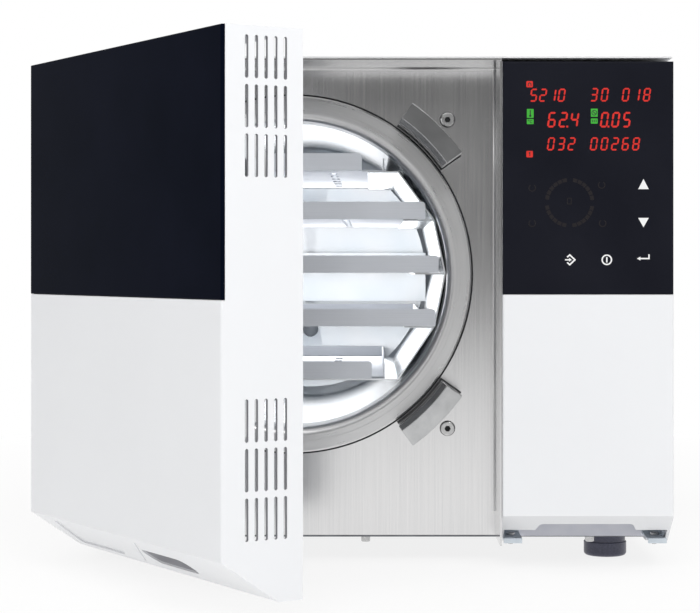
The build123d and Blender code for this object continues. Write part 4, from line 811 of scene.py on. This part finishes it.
# Left, top, width and height of the lit squares that carry the marks
red_squares = ((18.8, 15.7, 5.2, 5.0), (18.8, 71.3, 5.2, 5.2))
green_squares = ((19.2, 37.9, 5.4, 7.1), (19.2, 45.9, 5.4, 4.1),
                 (70.2, 37.7, 5.4, 6.5), (70.2, 45.5, 5.4, 4.1))
panel_piece("display_red_marks", [square(*place) for place in red_squares], red_lamp)
panel_piece("display_green_marks", [square(*place, 0.4) for place in green_squares], green_lamp)

arch_mark = [line_band([(20.3, 19.7), (20.3, 17.9), (21.4, 17.0), (22.5, 17.9), (22.5, 19.7)], 0.7)]
one_mark = [line_band([(20.8, 73.3), (21.6, 72.6), (21.6, 75.4)], 0.75)]
heat_mark = [line_band([(21.9, 38.8), (21.9, 42.9)], 0.8), circle_band(21.9, 43.4, 0.02, 0.95)]
degree_mark = [circle_band(20.6, 47.0, 0.3, 0.65), circle_band(22.7, 48.0, 0.75, 1.2, 50.0, 310.0)]
gauge_mark = [circle_band(72.9, 40.9, 1.6, 2.2), line_band([(71.9, 40.0), (73.9, 41.9)], 0.7)]
scale_mark = [line_band([(71.4 + 1.5 * k, 46.6), (71.4 + 1.5 * k, 48.5)], 0.6) for k in range(3)]
mark_glyphs = arch_mark + one_mark + heat_mark + degree_mark + gauge_mark + scale_mark
panel_piece("mark_glyphs", mark_glyphs, shade_and_print_black, 0.06)

arrow_middle = 112.1
arrow_half = 4.2
up_key = [(0.0, 93.7), (arrow_half, 101.8), (-arrow_half, 101.8)]
down_key = [(-arrow_half, 124.7), (arrow_half, 124.7), (0.0, 132.2)]
arrow_keys = [outline_on_glass(from_middle((arrow_middle, 0.0), arrow)) for arrow in (up_key, down_key)]
power_middle = (82.9, 158.1)
power_key = [circle_band(*power_middle, 3.15, 4.25, 90.5, 449.5, 40),
             line_band(from_middle(power_middle, [(0.0, -2.1), (0.0, 2.1)]), 1.1)]
enter_middle = (112.0, 158.1)
enter_key = [line_band(from_middle(enter_middle, [(4.5, -4.4), (4.5, -1.0), (-2.6, -1.0)]), 1.1),
             outline_on_glass(from_middle(enter_middle, [(-5.1, -1.0), (-2.3, -2.5), (-2.3, 0.5)]))]
next_middle = (53.5, 158.1)
next_frame = [(-2.2, -2.1), (-0.1, -3.9), (4.0, 0.0), (-0.1, 3.9), (-2.2, 2.1)]
next_key = [line_band(from_middle(next_middle, next_frame), 1.15),
            line_band(from_middle(next_middle, [(-3.9, 0.0), (0.2, 0.0)]), 1.0),
            outline_on_glass(from_middle(next_middle, [(-0.7, -1.5), (1.5, 0.0), (-0.7, 1.5)]))]
panel_piece("key_symbols", arrow_keys + power_key + enter_key + next_key, white_print)

# The ring of ticks, the four small rings round it and the mark in its middle: unlit print given a faint
# painted glow
ring_middle = (53.3, 112.6)
ticks_in_quarter = 6
tick_pitch = 12.8
tick_span = 10.6
first_tick = 7
tick_starts = [90 * quarter + first_tick + tick * tick_pitch
               for quarter in range(4) for tick in range(ticks_in_quarter)]
tick_radii = (16.7, 19.7)
small_ring_radii = (2.2, 3.0)
small_ring_places = ((23.5, 100.8), (78.8, 98.5), (23.5, 129.0), (79.6, 129.0))
ticks = [circle_band(*ring_middle, *tick_radii, start, start + tick_span, 6) for start in tick_starts]
small_rings = [circle_band(*place, *small_ring_radii, 120.0, 420.0, 20) for place in small_ring_places]
middle_mark = line_band([(51.6, 109.0), (51.6, 113.6), (54.6, 113.6), (54.6, 109.0), (51.9, 109.0)], 0.7)
panel_piece("cycle_ring", ticks + small_rings + [middle_mark], dim_print_glow)


# Floor, room, lamps and camera, in metres and watts

floor_radii = (0.0005, 0.4, 0.9, 1.8, 3.0, 4.6)
floor_colour = (0.93, 0.925, 0.915, 1)
glow_of_other_rays = 0.5
near_share = 0.84
near_radius = 0.35
far_radius = 1.1


def floor():
    """Pale floor, a disc of rings about the object.

    It glows plain white past the far radius, for rays of the camera, of gloss and of glass. Nearer, a
    share of it is a lit surface, which keeps the object's shadow. Other rays see half as much of the glow.
    """
    radii = np.array(floor_radii)[:, None]
    turn = np.linspace(0, 2 * np.pi, 48, endpoint=False)
    count = len(turn)
    points = np.stack([radii * np.cos(turn), radii * np.sin(turn), np.zeros((len(radii), count))], 2)
    faces = [face[::-1] for face in joined_rows(0, count, len(radii), range(len(radii) - 1))]
    faces.append(list(range(count)))
    mesh = bpy.data.meshes.new("floor")
    mesh.from_pydata(points.reshape(-1, 3).tolist(), [], faces)
    material = bpy.data.materials.new("pale_floor")
    material.use_nodes = True
    tree = material.node_tree
    link = tree.links.new
    diffuse = tree.nodes["Principled BSDF"]
    diffuse.inputs["Base Color"].default_value = floor_colour
    diffuse.inputs["Roughness"].default_value = 0.9
    diffuse.inputs["Specular IOR Level"].default_value = 0.0
    glow = tree.nodes.new("ShaderNodeEmission")
    glow.inputs["Strength"].default_value = 1.0
    ray = tree.nodes.new("ShaderNodeLightPath").outputs
    seen = combined(tree, "MAXIMUM", ray["Is Camera Ray"], ray["Is Glossy Ray"])
    seen = combined(tree, "MAXIMUM", seen, ray["Is Transmission Ray"])
    away = tree.nodes.new("ShaderNodeVectorMath")
    away.operation = "LENGTH"
    link(tree.nodes.new("ShaderNodeTexCoord").outputs["Object"], away.inputs[0])
    share = combined(tree, "MULTIPLY", map_range(tree, seen, 0.0, 1.0, glow_of_other_rays, 1.0),
                     map_range(tree, away.outputs["Value"], near_radius, far_radius, near_share, 1.0))
    mix = tree.nodes.new("ShaderNodeMixShader")
    link(share, mix.inputs["Fac"])
    link(diffuse.outputs[0], mix.inputs[1])
    link(glow.outputs[0], mix.inputs[2])
    link(mix.outputs[0], tree.nodes["Material Output"].inputs["Surface"])
    mesh.materials.append(material)
    made = bpy.data.objects.new("floor", mesh)
    bpy.context.scene.collection.objects.link(made)


# Direction along Y and brightness at the two ends of the room's light
dim_end = (-0.35, 0.2)
bright_end = (0.3, 0.75)


def room_light():
    """White room: pure white to the camera and through glass, else bright behind and dim in front."""
    world = bpy.data.worlds.new("studio")
    bpy.context.scene.world = world
    world.use_nodes = True
    tree = world.node_tree
    split = tree.nodes.new("ShaderNodeSeparateXYZ")
    tree.links.new(tree.nodes.new("ShaderNodeTexCoord").outputs["Generated"], split.inputs[0])
    side = map_range(tree, split.outputs["Y"], dim_end[0], bright_end[0], dim_end[1], bright_end[1])
    ray = tree.nodes.new("ShaderNodeLightPath").outputs
    through = combined(tree, "MAXIMUM", ray["Is Camera Ray"], ray["Is Transmission Ray"])
    background = tree.nodes["Background"].inputs
    tree.links.new(combined(tree, "MAXIMUM", through, side), background["Strength"])
    background["Color"].default_value = (1.0, 1.0, 1.0, 1)


def area_lamp(name, shape, place, aim, width, height, power, in_gloss=True):
    """A soft lamp that points from its place at a row point."""
    lamp = bpy.data.lights.new(name, "AREA")
    lamp.shape = shape
    lamp.size = width
    lamp.size_y = height
    lamp.energy = power
    made = bpy.data.objects.new(name, lamp)
    made.location = place
    made.rotation_euler = (Vector(aim) - Vector(place)).to_track_quat("-Z", "Y").to_euler()
    made.visible_camera = False
    made.visible_glossy = in_gloss
    bpy.context.scene.collection.objects.link(made)


camera_place = (0.001, -1.914, 0.247)
focal_length = 104.2
frame_shift = (-0.036, -0.0606)


def camera():
    """Long lens before the object, a little above half its height, looking level along +Y."""
    lens = bpy.data.cameras.new("camera")
    lens.sensor_width = 36.0
    lens.lens = focal_length
    lens.shift_x, lens.shift_y = frame_shift
    lens.clip_end = 50.0
    made = bpy.data.objects.new("camera", lens)
    made.location = camera_place
    made.rotation_euler = (math.pi / 2, 0, 0)
    bpy.context.scene.collection.objects.link(made)
    bpy.context.scene.camera = made


floor()
room_light()
area_lamp("top_softbox", "RECTANGLE", (0.0, -0.3, 2.4), (0.0, 0.0, 0.2), 2.4, 2.0, 8.0)
area_lamp("front_softbox", "RECTANGLE", (0.1, -2.2, 1.8), (0.0, -0.3, 0.2), 2.2, 1.2, 43.0)
area_lamp("left_softbox", "RECTANGLE", (-2.2, 0.7, 1.2), (-0.2, 0.0, 0.2), 1.4, 1.4, 6.5, False)
area_lamp("right_softbox", "RECTANGLE", (2.2, 0.1, 1.0), (0.2, 0.0, 0.2), 1.4, 1.4, 4.0)
mouth_glow_inside = 0.055
back_glow_inside = 0.075
chamber_mouth = (chamber_x, ring_low.y + mouth_glow_inside, chamber_z)
chamber_back = (chamber_x, vessel_rear - back_glow_inside, chamber_z)
area_lamp("mouth_glow", "ELLIPSE", chamber_mouth, chamber_back, 0.254, 0.254, 0.27)
area_lamp("back_glow", "ELLIPSE", chamber_back, chamber_mouth, 0.23, 0.23, 0.28)
camera()

bpy.context.scene.view_settings.view_transform = "Standard"
